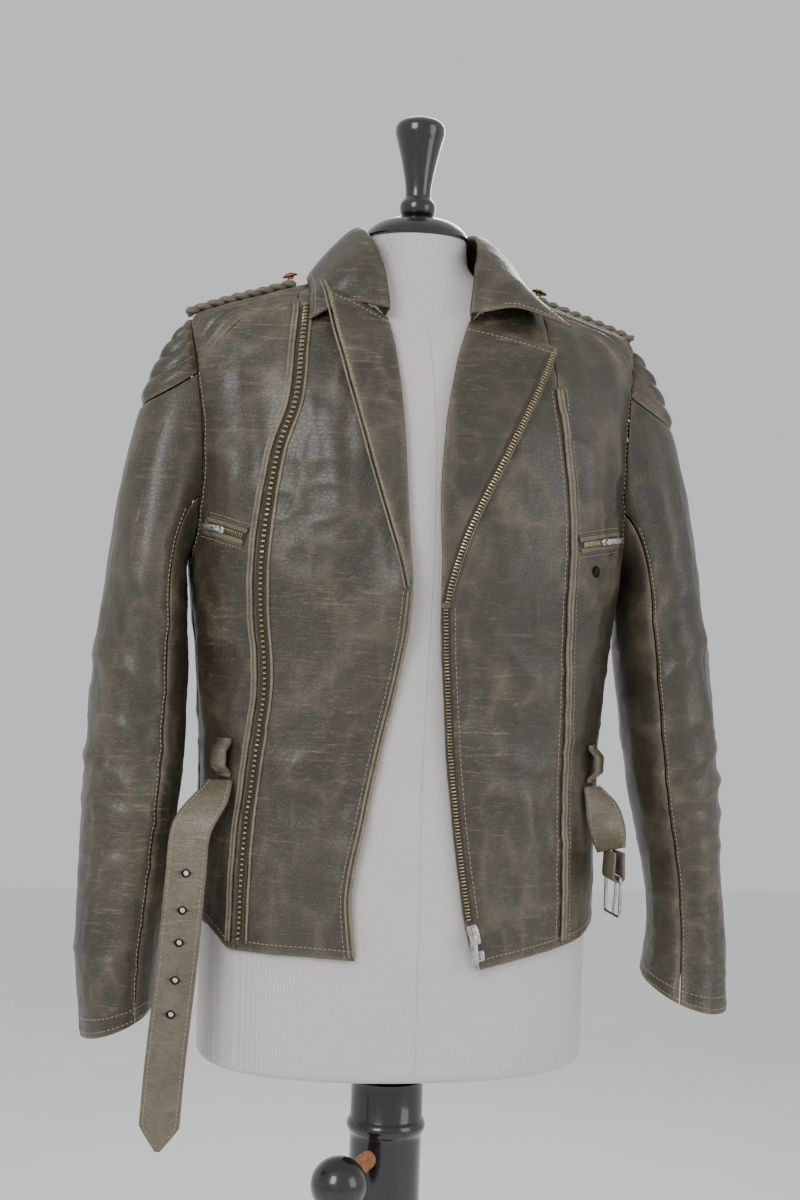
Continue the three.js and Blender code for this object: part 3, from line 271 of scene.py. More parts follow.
# %% Cloth, thread and wood
def woven(name, dark, pale, threads_per_mm, roughness=0.85, sheen=0.3):
    """Cloth read from Object coordinates: two sets of fine waves that cross"""
    material, shader, where = start_material(name, Sheen_Weight=sheen, Specular_IOR_Level=0.25)
    turns = 1000.0 * threads_per_mm
    split = where.node("ShaderNodeSeparateXYZ", {}, {0: where})
    upright = Wire(where.tree, split.socket.node.outputs["Z"])
    sideways = (Wire(where.tree, split.socket.node.outputs["X"])
                + Wire(where.tree, split.socket.node.outputs["Y"]) * 0.7)
    uneven = noise(where, 260.0, 3.0, 0.6)
    weft = where.maths("SINE", upright * turns * math.pi + uneven * 2.5)
    warp = where.maths("SINE", sideways * turns * math.pi + uneven * 2.5)
    slubs = noise(where, 420.0, 2.0, 0.5, stretch=(1.0, 1.0, 6.0)).between(0.4, 0.7)
    height = where.maths("MAXIMUM", weft, warp) * 0.5 + 0.5
    tone = (0.55 * height + 0.25 * slubs + 0.2 * noise(where, 14.0, 3.0)).clamped()
    plug(shader, Base_Color=tone.mixed(dark, pale),
         Roughness=(roughness + 0.08 * slubs).clamped(),
         Normal=bumped(height + 0.5 * slubs, 0.00022, 0.6))
    return material


def lacquered(name, dark, pale, roughness, coat):
    """Turned wood under paint or varnish: long faint grain below a clear coat"""
    material, shader, where = start_material(name, Specular_IOR_Level=0.5)
    shader.inputs["Coat Roughness"].default_value = 0.06
    fibres = noise(where, 60.0, 6.0, 0.6, stretch=(6.0, 6.0, 0.6))
    dust = noise(where, 500.0, 2.0)
    plug(shader, Base_Color=fibres.between(0.3, 0.7).mixed(dark, pale),
         Roughness=(roughness + 0.14 * fibres + 0.05 * dust).clamped(),
         Coat_Weight=(coat - 0.15 * dust).clamped(), Normal=bumped(fibres, 0.00012, 0.35))
    return material


linen_cloth = woven("linen_cloth", linear(176, 173, 170), linear(226, 224, 222), 1.1)
tape_cloth = woven("tape_cloth", linear(38, 33, 27), linear(82, 73, 60), 1.6, 0.8)
lining_cloth = woven("lining_cloth", linear(34, 30, 25), linear(66, 59, 49), 1.8, 0.7)
tan_thread = woven("tan_thread", linear(128, 112, 84), linear(196, 182, 148), 3.0, 0.7)
black_lacquer = lacquered("black_lacquer", linear(12, 13, 15), linear(30, 32, 35), 0.16, 0.8)
bare_dowel = lacquered("bare_dowel", linear(128, 80, 48), linear(190, 132, 90), 0.45, 0.1)
print("finishes:", len(bpy.data.materials))

KEPT_FINISHES = {
    "leather": trim_leather, "zip_teeth": tooth_metal, "nickel": silver_metal,
    "copper": copper_metal, "black_wood": black_lacquer, "dark_snap": snap_metal,
    "linen": linen_cloth, "steel": steel_metal, "pale_wood": bare_dowel,
}
for node_name, solid in frame["nodes"].items():
    slot_name = solid.data.materials[0].name.split(".")[0]
    finish = bronze_metal if node_name == "button_left" else KEPT_FINISHES[slot_name]
    solid.data.materials.clear()
    solid.data.materials.append(finish)
print("nodes given a finish:", len(frame["nodes"]))

# %% [markdown]
# The whole jacket follows one measured body, so the lesson rebuilds that body first.
# Each height has one rounded section; a smooth curve through a few rows gives its size.
# Places on it are pairs of an angle and a height, and every piece is drawn in places.

# %% The body that the jacket keeps
MM = 0.001
DEG = math.pi / 180
HIDE = 1.6
ON_LEATHER = 2.2
ON_STRIP = 2.4


def profile(rows):
    """A smooth curve through [height, value] rows that never overshoots them"""
    rows = np.array(sorted(rows), float)
    heights, values = rows[:, 0], rows[:, 1]
    slope = np.diff(values) / np.diff(heights)
    tangent = np.empty(len(rows))
    tangent[0], tangent[-1] = slope[0], slope[-1]
    product = slope[:-1] * slope[1:]
    total = slope[:-1] + slope[1:]
    safe = np.where(product > 0, total, 1.0)
    tangent[1:-1] = np.where(product > 0, 2 * product / safe, 0.0)

    def at(height):
        z = np.clip(np.asarray(height, float), heights[0], heights[-1])
        i = np.clip(np.searchsorted(heights, z, side="right") - 1, 0, len(rows) - 2)
        h = heights[i + 1] - heights[i]
        t = (z - heights[i]) / h
        return ((1 + 2 * t) * (1 - t) ** 2 * values[i] + t * (1 - t) ** 2 * h * tangent[i]
                + t * t * (3 - 2 * t) * values[i + 1] + t * t * (t - 1) * h * tangent[i + 1])

    return at


half_width = profile([[780, 186], [890, 187], [1060, 188], [1150, 194], [1240, 203], [1330, 208],
                      [1420, 212], [1440, 212], [1456, 211], [1463, 205], [1468, 192], [1475, 172],
                      [1485, 140], [1495, 108], [1503, 84], [1508, 74], [1516, 60], [1530, 52],
                      [1560, 50]])
front_depth = profile([[780, 128], [890, 126], [960, 122], [1060, 116], [1150, 124], [1240, 134],
                       [1330, 128], [1400, 110], [1440, 88], [1462, 70], [1480, 60], [1500, 56],
                       [1520, 54], [1560, 50]])
back_depth = profile([[780, 126], [890, 124], [960, 112], [1060, 102], [1150, 108], [1240, 118],
                      [1330, 118], [1400, 104], [1440, 82], [1462, 66], [1480, 58], [1520, 58],
                      [1560, 50]])
squareness = profile([[780, 2.3], [1490, 2.3], [1535, 2], [1560, 2]])


def unit(vectors):
    length = np.linalg.norm(vectors, axis=-1, keepdims=True)
    return vectors / np.maximum(length, 1e-9)


def run_of(points):
    """How far along the line each of its points lies, in mm"""
    return np.concatenate([[0], np.cumsum(np.linalg.norm(np.diff(points, axis=0), axis=1))])


def picked(rows, run, at):
    """The rows' values at the distances `at`, where run is the distance of each row"""
    return np.stack([np.interp(at, run, rows[:, k]) for k in range(rows.shape[1])], -1)


def section(places):
    """Points in mm at places of [angle, height]; angle 0 is the front, 90 degrees +X"""
    phi, z = np.moveaxis(np.asarray(places, float), -1, 0)
    power = 2 / squareness(z)
    s, c = np.sin(phi), np.cos(phi)
    depth = np.where(c >= 0, front_depth(z), back_depth(z))
    return np.stack([half_width(z) * np.sign(s) * np.abs(s) ** power,
                     -depth * np.sign(c) * np.abs(c) ** power, z], -1)


def section_normal(places):
    places = np.asarray(places, float)
    along = section(places + [0.004, 0]) - section(places - [0.004, 0])
    up = section(places + [0, 1]) - section(places - [0, 1])
    return unit(np.cross(along, up))


def front_angle(x, z):
    share = np.minimum(1, np.abs(x) / half_width(z))
    return np.sign(x) * np.arcsin(share ** (squareness(z) / 2))


print("chest width:", float(2 * half_width(1240)), "mm")

# %% [markdown]
# Leather folds where the body bends and where a seam pulls, and creases finely all over.
# The large folds are ridges along short lines, as the frame has them.
# The small ones come from value noise: random heights on a lattice, smoothly joined.
# The same heights move every layer, so welts and zips ride over the folds together.

# %% Folds and creases
FRONT_FOLDS = np.array([
    [-30, 1215, -105, 1060, 20, 5], [-24, 1245, -24, 1190, 24, 5], [-172, 1415, -165, 1325, 9, -2.2],
    [-188, 1400, -184, 1330, 8, 2], [-95, 1370, -85, 1290, 10, 2], [-120, 1050, -100, 960, 16, 3],
    [-60, 1010, -70, 920, 14, 3], [20, 1130, 60, 1040, 18, 3], [90, 1060, 110, 950, 14, 2.5],
    [165, 1180, 150, 1090, 12, 2.5]], float)
BACK_FOLDS = np.array([
    [-60, 1380, -150, 1300, 16, 3], [60, 1380, 150, 1300, 16, 3], [-120, 1130, -20, 1080, 15, 3],
    [120, 1120, 30, 1070, 15, 3], [-90, 1000, -100, 920, 18, 3], [90, 1000, 105, 920, 18, 3]], float)
SMALL_FOLDS = np.array([
    [-205, 1300, -150, 1215, 5, 1.3], [-195, 1240, -160, 1190, 5, 1.2], [-160, 1385, -150, 1310, 4, -1.2],
    [-110, 1385, -104, 1325, 4, 1.2], [-80, 1365, -78, 1300, 3.5, -1.0], [-120, 1352, -118, 1285, 4, 1.0],
    [-40, 1180, -120, 1095, 6, 1.5], [-60, 1150, -130, 1075, 4, -1.1], [-185, 1120, -120, 1085, 5, 1.2],
    [-180, 1085, -110, 1060, 4, 1.1], [-150, 1010, -90, 1000, 4, 0.9], [60, 1180, 120, 1120, 6, 1.3],
    [30, 1090, 110, 1060, 5, 1.2], [40, 1040, 120, 1020, 5, 1.0], [195, 1300, 150, 1220, 5, 1.2],
    [190, 1230, 150, 1180, 5, 1.1], [120, 1380, 126, 1310, 4, 1.0], [150, 1390, 152, 1320, 5, 1.2],
    [180, 1110, 120, 1075, 5, 1.2], [100, 1000, 160, 985, 4, 0.8]], float)
LATTICE = 32
lattice = np.random.default_rng(7).random((LATTICE, LATTICE, LATTICE))


def value_noise(points, size):
    """Smooth noise from 0 to 1, with bumps of about `size` mm"""
    scaled = points / size + 97.3
    corner = np.floor(scaled).astype(int)
    part = scaled - corner
    part = part * part * (3 - 2 * part)
    total = np.zeros(points.shape[:-1])
    for dx in (0, 1):
        for dy in (0, 1):
            for dz in (0, 1):
                share = (np.where(dx, part[..., 0], 1 - part[..., 0])
                         * np.where(dy, part[..., 1], 1 - part[..., 1])
                         * np.where(dz, part[..., 2], 1 - part[..., 2]))
                cell = (corner + [dx, dy, dz]) % LATTICE
                total += share * lattice[cell[..., 0], cell[..., 1], cell[..., 2]]
    return total


def ridges(points, size):
    return 1 - np.abs(2 * value_noise(points, size) - 1)


def fold_sum(points, folds):
    """The height at each point of folds, each a soft ridge along a short line"""
    total = np.zeros(points.shape[:-1])
    for x0, z0, x1, z1, width, height in folds:
        dx, dz = x1 - x0, z1 - z0
        t = ((points[..., 0] - x0) * dx + (points[..., 2] - z0) * dz) / (dx * dx + dz * dz)
        t = np.clip(t, 0, 1)
        gap = np.hypot(points[..., 0] - x0 - t * dx, points[..., 2] - z0 - t * dz)
        total += height * np.exp(-(gap / width) ** 2)
    return total


def creases(points):
    """Fine crumpling: crossed ridges, stretched a little along the height"""
    drift = 9 * value_noise(points, 60)[..., None] - 4.5
    bent = (points + drift) * [1.0, 1.0, 0.8]
    broad = ridges(bent, 46) ** 3
    middling = ridges(bent + 31, 21) ** 4
    fine = ridges(bent + 77, 10) ** 4
    return 1.3 * broad + 1.15 * middling + 0.5 * fine - 0.6


def fold_height(points):
    front = points[..., 1] < 0
    large = np.where(front, fold_sum(points, FRONT_FOLDS), fold_sum(points, BACK_FOLDS))
    small = np.where(front, fold_sum(points, SMALL_FOLDS), 0)
    return large + small


def skin(places, out, crumpled=1.0):
    """Points in mm on the jacket's inner face at places, moved out by `out`"""
    points = section(places)
    height = np.asarray(out) + fold_height(points) + crumpled * creases(points)
    return points + section_normal(places) * height[..., None]


print("folds:", len(FRONT_FOLDS) + len(BACK_FOLDS) + len(SMALL_FOLDS))

# %% [markdown]
# A leather piece is a thin closed shell: an outer face, an inner face and a rim.
# Near a sewn edge the outer face rolls down, because the stitches pull it in.
# The shell also carries a wear value: most at its edges and on its creases.

# %% Shells of leather
SEAM_GAP = 0.4
ROLL_WIDTH = 2.4
ROLL_DEPTH = 0.95
STITCH_DIP = 0.22
STITCH_OFFSET = 4.2
LEAST_SHARE = 0.31


def shares_along(length, step, edge=(SEAM_GAP, 1.1, 2.2, 3.6)):
    """Shares from 0 to 1 of a length in mm, closer together near both ends"""
    count = max(2, round((length - 2 * edge[-1]) / step) + 1)
    middle = np.linspace(edge[-1], length - edge[-1], count)
    first = np.array(edge[:-1])
    return np.concatenate([first, middle, length - first[::-1]]) / length


def edge_distance(points):
    """The distance in mm of each grid point from the nearest edge of its grid"""
    def along(rows):
        steps = np.linalg.norm(np.diff(rows, axis=1), axis=-1)
        run = np.concatenate([np.zeros((len(rows), 1)), np.cumsum(steps, axis=1)], axis=1)
        return np.minimum(run, run[:, -1:] - run)

    across = along(points)
    down = along(points.transpose(1, 0, 2)).T
    return np.minimum(across, down) + SEAM_GAP


def pick_only(*pieces):
    """Selects just these pieces, the first one active, for the next operator"""
    bpy.ops.object.select_all(action="DESELECT")
    for piece in pieces:
        piece.select_set(True)
    bpy.context.view_layer.objects.active = pieces[0]


def make_mesh(name, vertices, faces, material, wear=None, smooth=True):
    """A finished piece from points in mm; its object stays at the origin"""
    mesh = bpy.data.meshes.new(name)
    mesh.from_pydata((np.asarray(vertices) * MM).tolist(), [], faces)
    mesh.materials.append(material)
    if wear is not None:
        layer = mesh.attributes.new("wear", "FLOAT", "POINT")
        layer.data.foreach_set("value", np.ascontiguousarray(wear, dtype=np.float32))
    mesh.polygons.foreach_set("use_smooth", [smooth] * len(mesh.polygons))
    mesh.update()
    piece = bpy.data.objects.new(name, mesh)
    bpy.context.collection.objects.link(piece)
    return piece


def fit(piece, body, slot, *nodes):
    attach(piece, body)
    if nodes:
        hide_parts(*nodes)
    return piece


def grid_faces(rows, cols, start=0, flipped=False):
    i, j = np.meshgrid(np.arange(rows - 1), np.arange(cols - 1), indexing="ij")
    a = (start + i * cols + j).ravel()
    quads = np.stack([a, a + 1, a + cols + 1, a + cols], 1)
    return quads[:, ::-1] if flipped else quads


def shell_faces(rows, cols):
    """Faces of two grids and the rims that join them; the outer grid comes first"""
    size = rows * cols
    ring = ([(0, j) for j in range(cols)] + [(i, cols - 1) for i in range(1, rows)]
            + [(rows - 1, j) for j in range(cols - 2, -1, -1)] + [(i, 0) for i in range(rows - 2, 0, -1)])
    ids = np.array([i * cols + j for i, j in ring])
    following = np.roll(ids, -1)
    rim = np.stack([following, ids, ids + size, following + size], 1)
    return np.concatenate([grid_faces(rows, cols), grid_faces(rows, cols, size, True), rim])


def turned_out(vertices, faces):
    """The faces, turned round if the closed shape they make is inside out"""
    a, b, c = (vertices[faces[:, k]] for k in range(3))
    d = vertices[faces[:, 3]]
    volume = (a * np.cross(b, c)).sum() + (a * np.cross(c, d)).sum()
    return faces if volume > 0 else faces[:, ::-1]


def all_turned_out(vertices, faces, quads):
    """All the faces, turned round if the four-sided ones among them show it is needed"""
    quads = np.array(quads)
    if (turned_out(vertices, quads) != quads).any():
        return [face[::-1] for face in faces]
    return faces


def shell(name, outer, inner, wear, material=None):
    rows, cols = outer.shape[:2]
    vertices = np.concatenate([outer.reshape(-1, 3), inner.reshape(-1, 3)])
    faces = turned_out(vertices, shell_faces(rows, cols))
    worn = np.concatenate([wear.ravel(), np.full(wear.size, 0.1)])
    return make_mesh(name, vertices, faces.tolist(), material or body_leather, worn)


def wear_of(points, distance, edge_wear=0.85):
    """Pale where the leather is rubbed: at the edges and on the ridges of its creases"""
    ridge = np.clip((creases(points) - 0.25) / 1.3, 0, 1)
    patch = value_noise(points + 400, 55)
    edge = np.exp(-np.maximum(distance - 0.5, 0) / 2.6)
    return np.clip(edge_wear * edge * (0.45 + 0.8 * patch) + 0.55 * ridge * (0.3 + patch), 0, 1)


def roll_down(distance):
    return (ROLL_DEPTH * np.exp(-(distance / ROLL_WIDTH) ** 2)
            + STITCH_DIP * np.exp(-((distance - STITCH_OFFSET) / 1.1) ** 2))


def cloth_size(grid):
    """Widest and longest run in metres, and the area, of a smooth grid in mm"""
    wide = np.linalg.norm(np.diff(grid, axis=1), axis=-1).sum(1).max() * MM
    tall = np.linalg.norm(np.diff(grid, axis=0), axis=-1).sum(0).max() * MM
    p, q, r = grid[:-1, :-1], grid[:-1, 1:], grid[1:, :-1]
    area = np.linalg.norm(np.cross(q - p, r - p), axis=-1).sum() * MM * MM
    return (float(wide), float(tall)), float(min(area, 0.999 * wide * tall))


def cut_piece(piece, flat_grid):
    """Prints the size and area of a piece's place on the form, as a cut of hide"""
    flat, area = cloth_size(flat_grid)
    area = max(area, LEAST_SHARE * flat[0] * flat[1])
    print(piece.name, "cut:", [round(side, 3) for side in flat], "area", round(area, 4))


def body_shell(name, places, raised=0.0, crumpled=1.0):
    """A leather piece on the body: a grid of places, its outer face lifted by raised"""
    smooth = section(places)
    distance = edge_distance(smooth)
    outer = skin(places, HIDE + raised - roll_down(distance), crumpled)
    inner = skin(places, 0.0, crumpled)
    return shell(name, outer, inner, wear_of(smooth, distance))


print("shell helpers ready")

# %% [markdown]
# Each front is a side panel and a centre panel that meet at a piped seam.
# The seams are drawn as lines on the body, and the hide is filled in between them,
# as a cutter lays out a pattern: two edges run down, two run across.

# %% Seam lines
ARMPIT = 1240
SHOULDER_TIP = 1463
ARMHOLE_MIDDLE = (SHOULDER_TIP + ARMPIT) / 2
ARMHOLE_HEIGHT = (SHOULDER_TIP - ARMPIT) / 2
QUILT_END = 58 * DEG
QUILT_START = 5.8 * DEG
LOWER_STEP = (math.pi - QUILT_END) / 8
YOKE_TOP = 1478
YOKE_BACK = (142 * DEG, 1499)
NECK_POINT = 1507
NECKLINE_FRONT = 1466
ARM_ROWS = 8
SIDE_ROWS = 9
SIDE_HEM = 912
BACK_HEM_DIP = 18
HALF_HEM = 187
BACK_NECK = 1500

zip_line = profile([[880, 158], [999, 155], [1080, 147], [1134, 144], [1205, 151], [1266, 150],
                    [1337, 141], [1382, 127], [1434, 121], [1477, 114], [1494, 110.5]])
princess_line = profile([[880, 140], [1031, 137], [1123, 135], [1214, 131], [1269, 131],
                         [1350, 124], [1410, 117], [1477, 113], [1494, 110.5]])
right_opening = profile([[880, -56], [944, -62], [1005, -52], [1085, -37], [1165, -23], [1218, -20],
                         [1262, -23], [1297, -25], [1368, -29], [1423, -33], [1466, -38]])
left_opening = profile([[880, 53], [914, 42], [954, 35], [1033, 24], [1131, 13], [1201, 7],
                        [1245, 6], [1298, 4], [1361, 8], [1426, 22], [1466, 38]])
right_hem = profile([[-187, 912], [-180, 908], [-161, 891], [-104, 891], [-55, 889]])
left_hem = profile([[53, 881], [95, 889], [141, 897], [167, 903], [187, 912]])


def pairs(first, second):
    first, second = np.broadcast_arrays(np.asarray(first, float), np.asarray(second, float))
    return np.stack([first, second], -1)


def armhole(side, psi):
    """psi is 0 at the shoulder tip, 90 degrees at the front and 180 at the armpit"""
    return pairs(side * (math.pi / 2 - 20 * DEG * np.sin(psi)),
                 ARMHOLE_MIDDLE + ARMHOLE_HEIGHT * np.cos(psi))


def side_edge(side, back, row):
    """The armhole's lower part for rows 0 to 8, then the side seam down to row 17"""
    turn = -1 if back else 1
    arm = armhole(side, turn * (QUILT_END + np.minimum(row, ARM_ROWS) * LOWER_STEP))
    down = pairs(side * math.pi / 2, ARMPIT + (SIDE_HEM - ARMPIT) * (row - ARM_ROWS) / SIDE_ROWS)
    return np.where((row <= ARM_ROWS)[..., None], arm, down)


def places_along(corners, shares):
    corners = np.array(corners, float)
    run = run_of(section(corners))
    return picked(corners, run, np.asarray(shares) * run[-1])


def filled(left, right, top, bottom, u, v):
    """Places between four edges that share their corners"""
    u, v = u[None, :, None], v[:, None, None]
    return ((1 - u) * left[:, None] + u * right[:, None] + (1 - v) * top[None] + v * bottom[None]
            - (1 - u) * (1 - v) * top[0] - u * (1 - v) * top[-1]
            - (1 - u) * v * bottom[0] - u * v * bottom[-1])


def four_edges(left_at, right_at, top_at, bottom_at, u, v):
    """The same, from edges given as functions; the outermost rows are left off"""
    all_u = np.concatenate([[0.0], u, [1.0]])
    all_v = np.concatenate([[0.0], v, [1.0]])
    top, bottom = top_at(all_u), bottom_at(all_u)
    left, right = left_at(all_v), right_at(all_v)
    for edge, near, far in ((top, left[0], right[0]), (bottom, left[-1], right[-1])):
        edge[0], edge[-1] = near, far
    grid = filled(left, right, top, bottom, all_u, all_v)
    return grid[1:-1, 1:-1]


print("armhole:", round(2 * ARMHOLE_HEIGHT), "mm tall")

# %% Front panels and back
PANEL_STEP = 4.0
OPENING_ROOM = 0.02


def front_panels(side, seam, opening, hem, word):
    rows = ARM_ROWS + SIDE_ROWS
    seam_x = float(seam(900)) * side
    seam_foot = float(hem(seam_x))
    edge_at = lambda v: side_edge(side, False, v * rows)
    first, last = edge_at(np.array([0.0, 1.0]))[:, 1]

    def seam_at(v):
        z = seam_foot + (YOKE_TOP - seam_foot) * (edge_at(v)[:, 1] - last) / (first - last)
        return pairs(front_angle(side * seam(z), z), z)

    corner, shoulder = seam_at(np.array([0.0]))[0], edge_at(np.array([0.0]))[0]
    top_at = lambda u: (1 - u)[:, None] * corner + u[:, None] * shoulder

    def hem_at(u):
        x = seam_x + (side * HALF_HEM - seam_x) * u
        return pairs(front_angle(x, hem(x)), hem(x))

    u = shares_along(95, PANEL_STEP)
    v = shares_along(590, PANEL_STEP)
    outer_grid = four_edges(seam_at, edge_at, top_at, hem_at, u, v)
    pieces = [(f"front_{word}_side", outer_grid)]

    def inner_at(v):
        row = v * (rows + 4)
        ridge_end = np.array([side * math.pi / 2, NECK_POINT])
        share = np.clip(row / 4, 0, 1)[:, None]
        ridge = (1 - share) * ridge_end + share * corner
        return np.where((row < 4)[:, None], ridge, seam_at(np.clip((row - 4) / rows, 0, 1)))

    open_foot = float(hem(opening(885)))

    def opening_at(v):
        level = open_foot + (NECKLINE_FRONT - open_foot) * ((inner_at(v)[:, 1] - seam_foot)
                                                             / (NECK_POINT - seam_foot))
        return pairs(front_angle(opening(level), level), level)

    neck_corners = [[side * math.pi / 2, NECK_POINT], [side * 58 * DEG, 1503],
                    [side * 34 * DEG, 1494], [side * 19 * DEG, 1482],
                    opening_at(np.array([0.0]))[0]]

    def centre_hem(u):
        x = seam_x + (opening(open_foot) - seam_x) * u
        return pairs(front_angle(x, hem(x)), hem(x))

    u = shares_along(170, PANEL_STEP)
    v = shares_along(620, PANEL_STEP)
    centre = four_edges(inner_at, opening_at, lambda t: places_along(neck_corners, t),
                        centre_hem, u, v)
    limit = np.abs(front_angle(opening(centre[..., 1]), centre[..., 1])) + OPENING_ROOM * (1 - u)
    centre[..., 0] = side * np.maximum(np.abs(centre[..., 0]), limit)
    pieces.append((f"front_{word}_centre", centre))
    for name, places in pieces:
        piece = body_shell(name + "_hide", places)
        fit(piece, "form", "leather", name)
        cut_piece(piece, section(places))


front_panels(-1, zip_line, right_opening, right_hem, "right")
front_panels(1, princess_line, left_opening, left_hem, "left")


def back_panel():
    rows = ARM_ROWS + SIDE_ROWS
    left_at = lambda v: side_edge(1, True, v * rows)
    right_at = lambda v: side_edge(-1, True, v * rows) + [2 * math.pi, 0]
    start = left_at(np.array([0.0]))[0]
    corner = np.array(YOKE_BACK)
    middle = np.array([math.pi, BACK_NECK])

    def top_at(u):
        share = np.minimum(u, 1 - u) * 18
        first = start + (corner - start) * np.clip(share / 6, 0, 1)[:, None]
        both = np.where((share <= 6)[:, None], first,
                        corner + (middle - corner) * np.clip((share - 6) / 3, 0, 1)[:, None])
        flipped = np.stack([2 * math.pi - both[:, 0], both[:, 1]], -1)
        return np.where((u > 0.5)[:, None], flipped, both)

    hem_at = lambda u: pairs(math.pi / 2 + math.pi * u, SIDE_HEM - BACK_HEM_DIP * np.sin(math.pi * u))
    places = four_edges(left_at, right_at, top_at, hem_at, shares_along(480, 4.6),
                        shares_along(590, 4.6))
    piece = body_shell("back_hide", places)
    fit(piece, "form", "leather", "back")
    cut_piece(piece, section(places))


back_panel()

# %% [markdown]
# Over each shoulder lies a quilted yoke, and each sleeve starts with a quilted cap.
# The ribs are padding stitched down in rows, so each rib is a round half tube
# and each valley between two ribs is a stitched line. Both share the same row count,
# so the ribs run on across the armhole seam.

# %% Quilted yokes
RIBS = 5
QUILT_ROWS = 2 * RIBS
RIB_RAISE = 3.0


def quilt_angle(t):
    return QUILT_START + (QUILT_END - QUILT_START) * t


def rib_height(row):
    """Round ribs on the odd rows, stitched valleys on the even ones"""
    return 0.25 + RIB_RAISE * np.abs(np.sin(math.pi * row / 2)) ** 0.62


def near_edges(distance):
    return 1 - np.exp(-(distance / 5.0) ** 2)


def yoke_neck(side, seam):
    """The yoke's edge by the neck: its front end, the shoulder ridge and its back end"""
    return [[front_angle(side * float(seam(YOKE_TOP)), YOKE_TOP), YOKE_TOP],
            [side * math.pi / 2, NECK_POINT], [side * YOKE_BACK[0], YOKE_BACK[1]]]


def yoke(side, word, seam):
    fold_corners = yoke_neck(side, seam)
    count = 2 * QUILT_ROWS + 1
    v = shares_along(190, 1.9, (SEAM_GAP, 1.2, 2.4))
    row = v * count
    front = armhole(side, quilt_angle(1 - np.minimum(row, QUILT_ROWS) / QUILT_ROWS))
    back = armhole(side, -quilt_angle(np.maximum(row - QUILT_ROWS - 1, 0) / QUILT_ROWS))
    bridge = np.clip(row - QUILT_ROWS, 0, 1)[:, None]
    arm = (1 - bridge) * front + bridge * back
    neck_front = places_along(fold_corners[:2], np.clip(row / (QUILT_ROWS + 1), 0, 1))
    neck_back = places_along(fold_corners[1:], np.clip((row - QUILT_ROWS) / (QUILT_ROWS + 1), 0, 1))
    neck = (1 - bridge) * neck_front + bridge * neck_back
    u = shares_along(105, 2.6, (SEAM_GAP, 1.2, 2.4))[None, :, None]
    places = (1 - u) * arm[:, None] + u * neck[:, None]
    rib_row = np.where(row <= QUILT_ROWS, row, np.maximum(row - 1, QUILT_ROWS))
    distance = edge_distance(section(places))
    raised = rib_height(rib_row)[:, None] * near_edges(distance)
    piece = body_shell(f"yoke_{word}_hide", places, raised, crumpled=0.35)
    fit(piece, "form", "leather", f"yoke_{word}")
    cut_piece(piece, section(places))


yoke(-1, "right", zip_line)
yoke(1, "left", princess_line)

# %% [markdown]
# A sleeve is a tube that starts at the armhole and hangs down through six rings.
# Smooth curves join the rings, so the sleeve leaves the shoulder and bends at the elbow.
# Its creases are deepest at the elbow, where the arm has bent the leather for years.

# %% Sleeve surfaces
RIGHT_RINGS = [((-281, 1215), (-207, 1215), -5, 60, 0), ((-290, 1130), (-204, 1130), -7, 58, 0),
               ((-294, 1045), (-206, 1045), -9, 55, 0), ((-296, 965), (-214, 965), -12, 52, 0),
               ((-297, 885), (-223, 885), -15, 50, 0), ((-290, 803), (-227, 828), -18, 48, 0)]
LEFT_RINGS = [((289, 1215), (207, 1215), -3, 60, 0), ((303, 1130), (215, 1130), -5, 58, 0),
              ((312, 1035), (229, 1035), -8, 53, 0), ((318, 950), (247, 950), -12, 45, 0),
              ((322, 900), (250, 900), -15, 45, 3), ((325, 830), (244, 858), -19, 54, 14)]
SLEEVE_START = 0.8
SLEEVE_FOLDS = np.array([
    [255, 1020, 312, 1048, 7, 3.2], [250, 1000, 312, 1015, 7, 2.6], [246, 1046, 300, 1078, 7, 2.6],
    [232, 1085, 290, 1110, 8, 2.4], [262, 975, 318, 985, 6, 2.0], [240, 1140, 282, 1180, 9, 2.6],
    [225, 1190, 262, 1235, 8, 2.2], [262, 925, 300, 940, 6, 1.6], [275, 1150, 296, 1085, 7, 1.8],
    [-250, 1030, -294, 1058, 7, 2.8], [-222, 1000, -290, 1018, 7, 2.4], [-218, 1062, -275, 1092, 7, 2.4],
    [-232, 1120, -282, 1150, 8, 2.2], [-222, 960, -290, 972, 6, 1.8], [-228, 1180, -262, 1226, 8, 2.2],
    [-236, 910, -288, 925, 6, 1.5], [-262, 1090, -284, 1160, 7, 1.6], [-240, 870, -285, 880, 5, 1.2]],
    float)


def sleeve_height(points):
    return fold_sum(points, SLEEVE_FOLDS) + 0.9 * creases(points) + 0.4


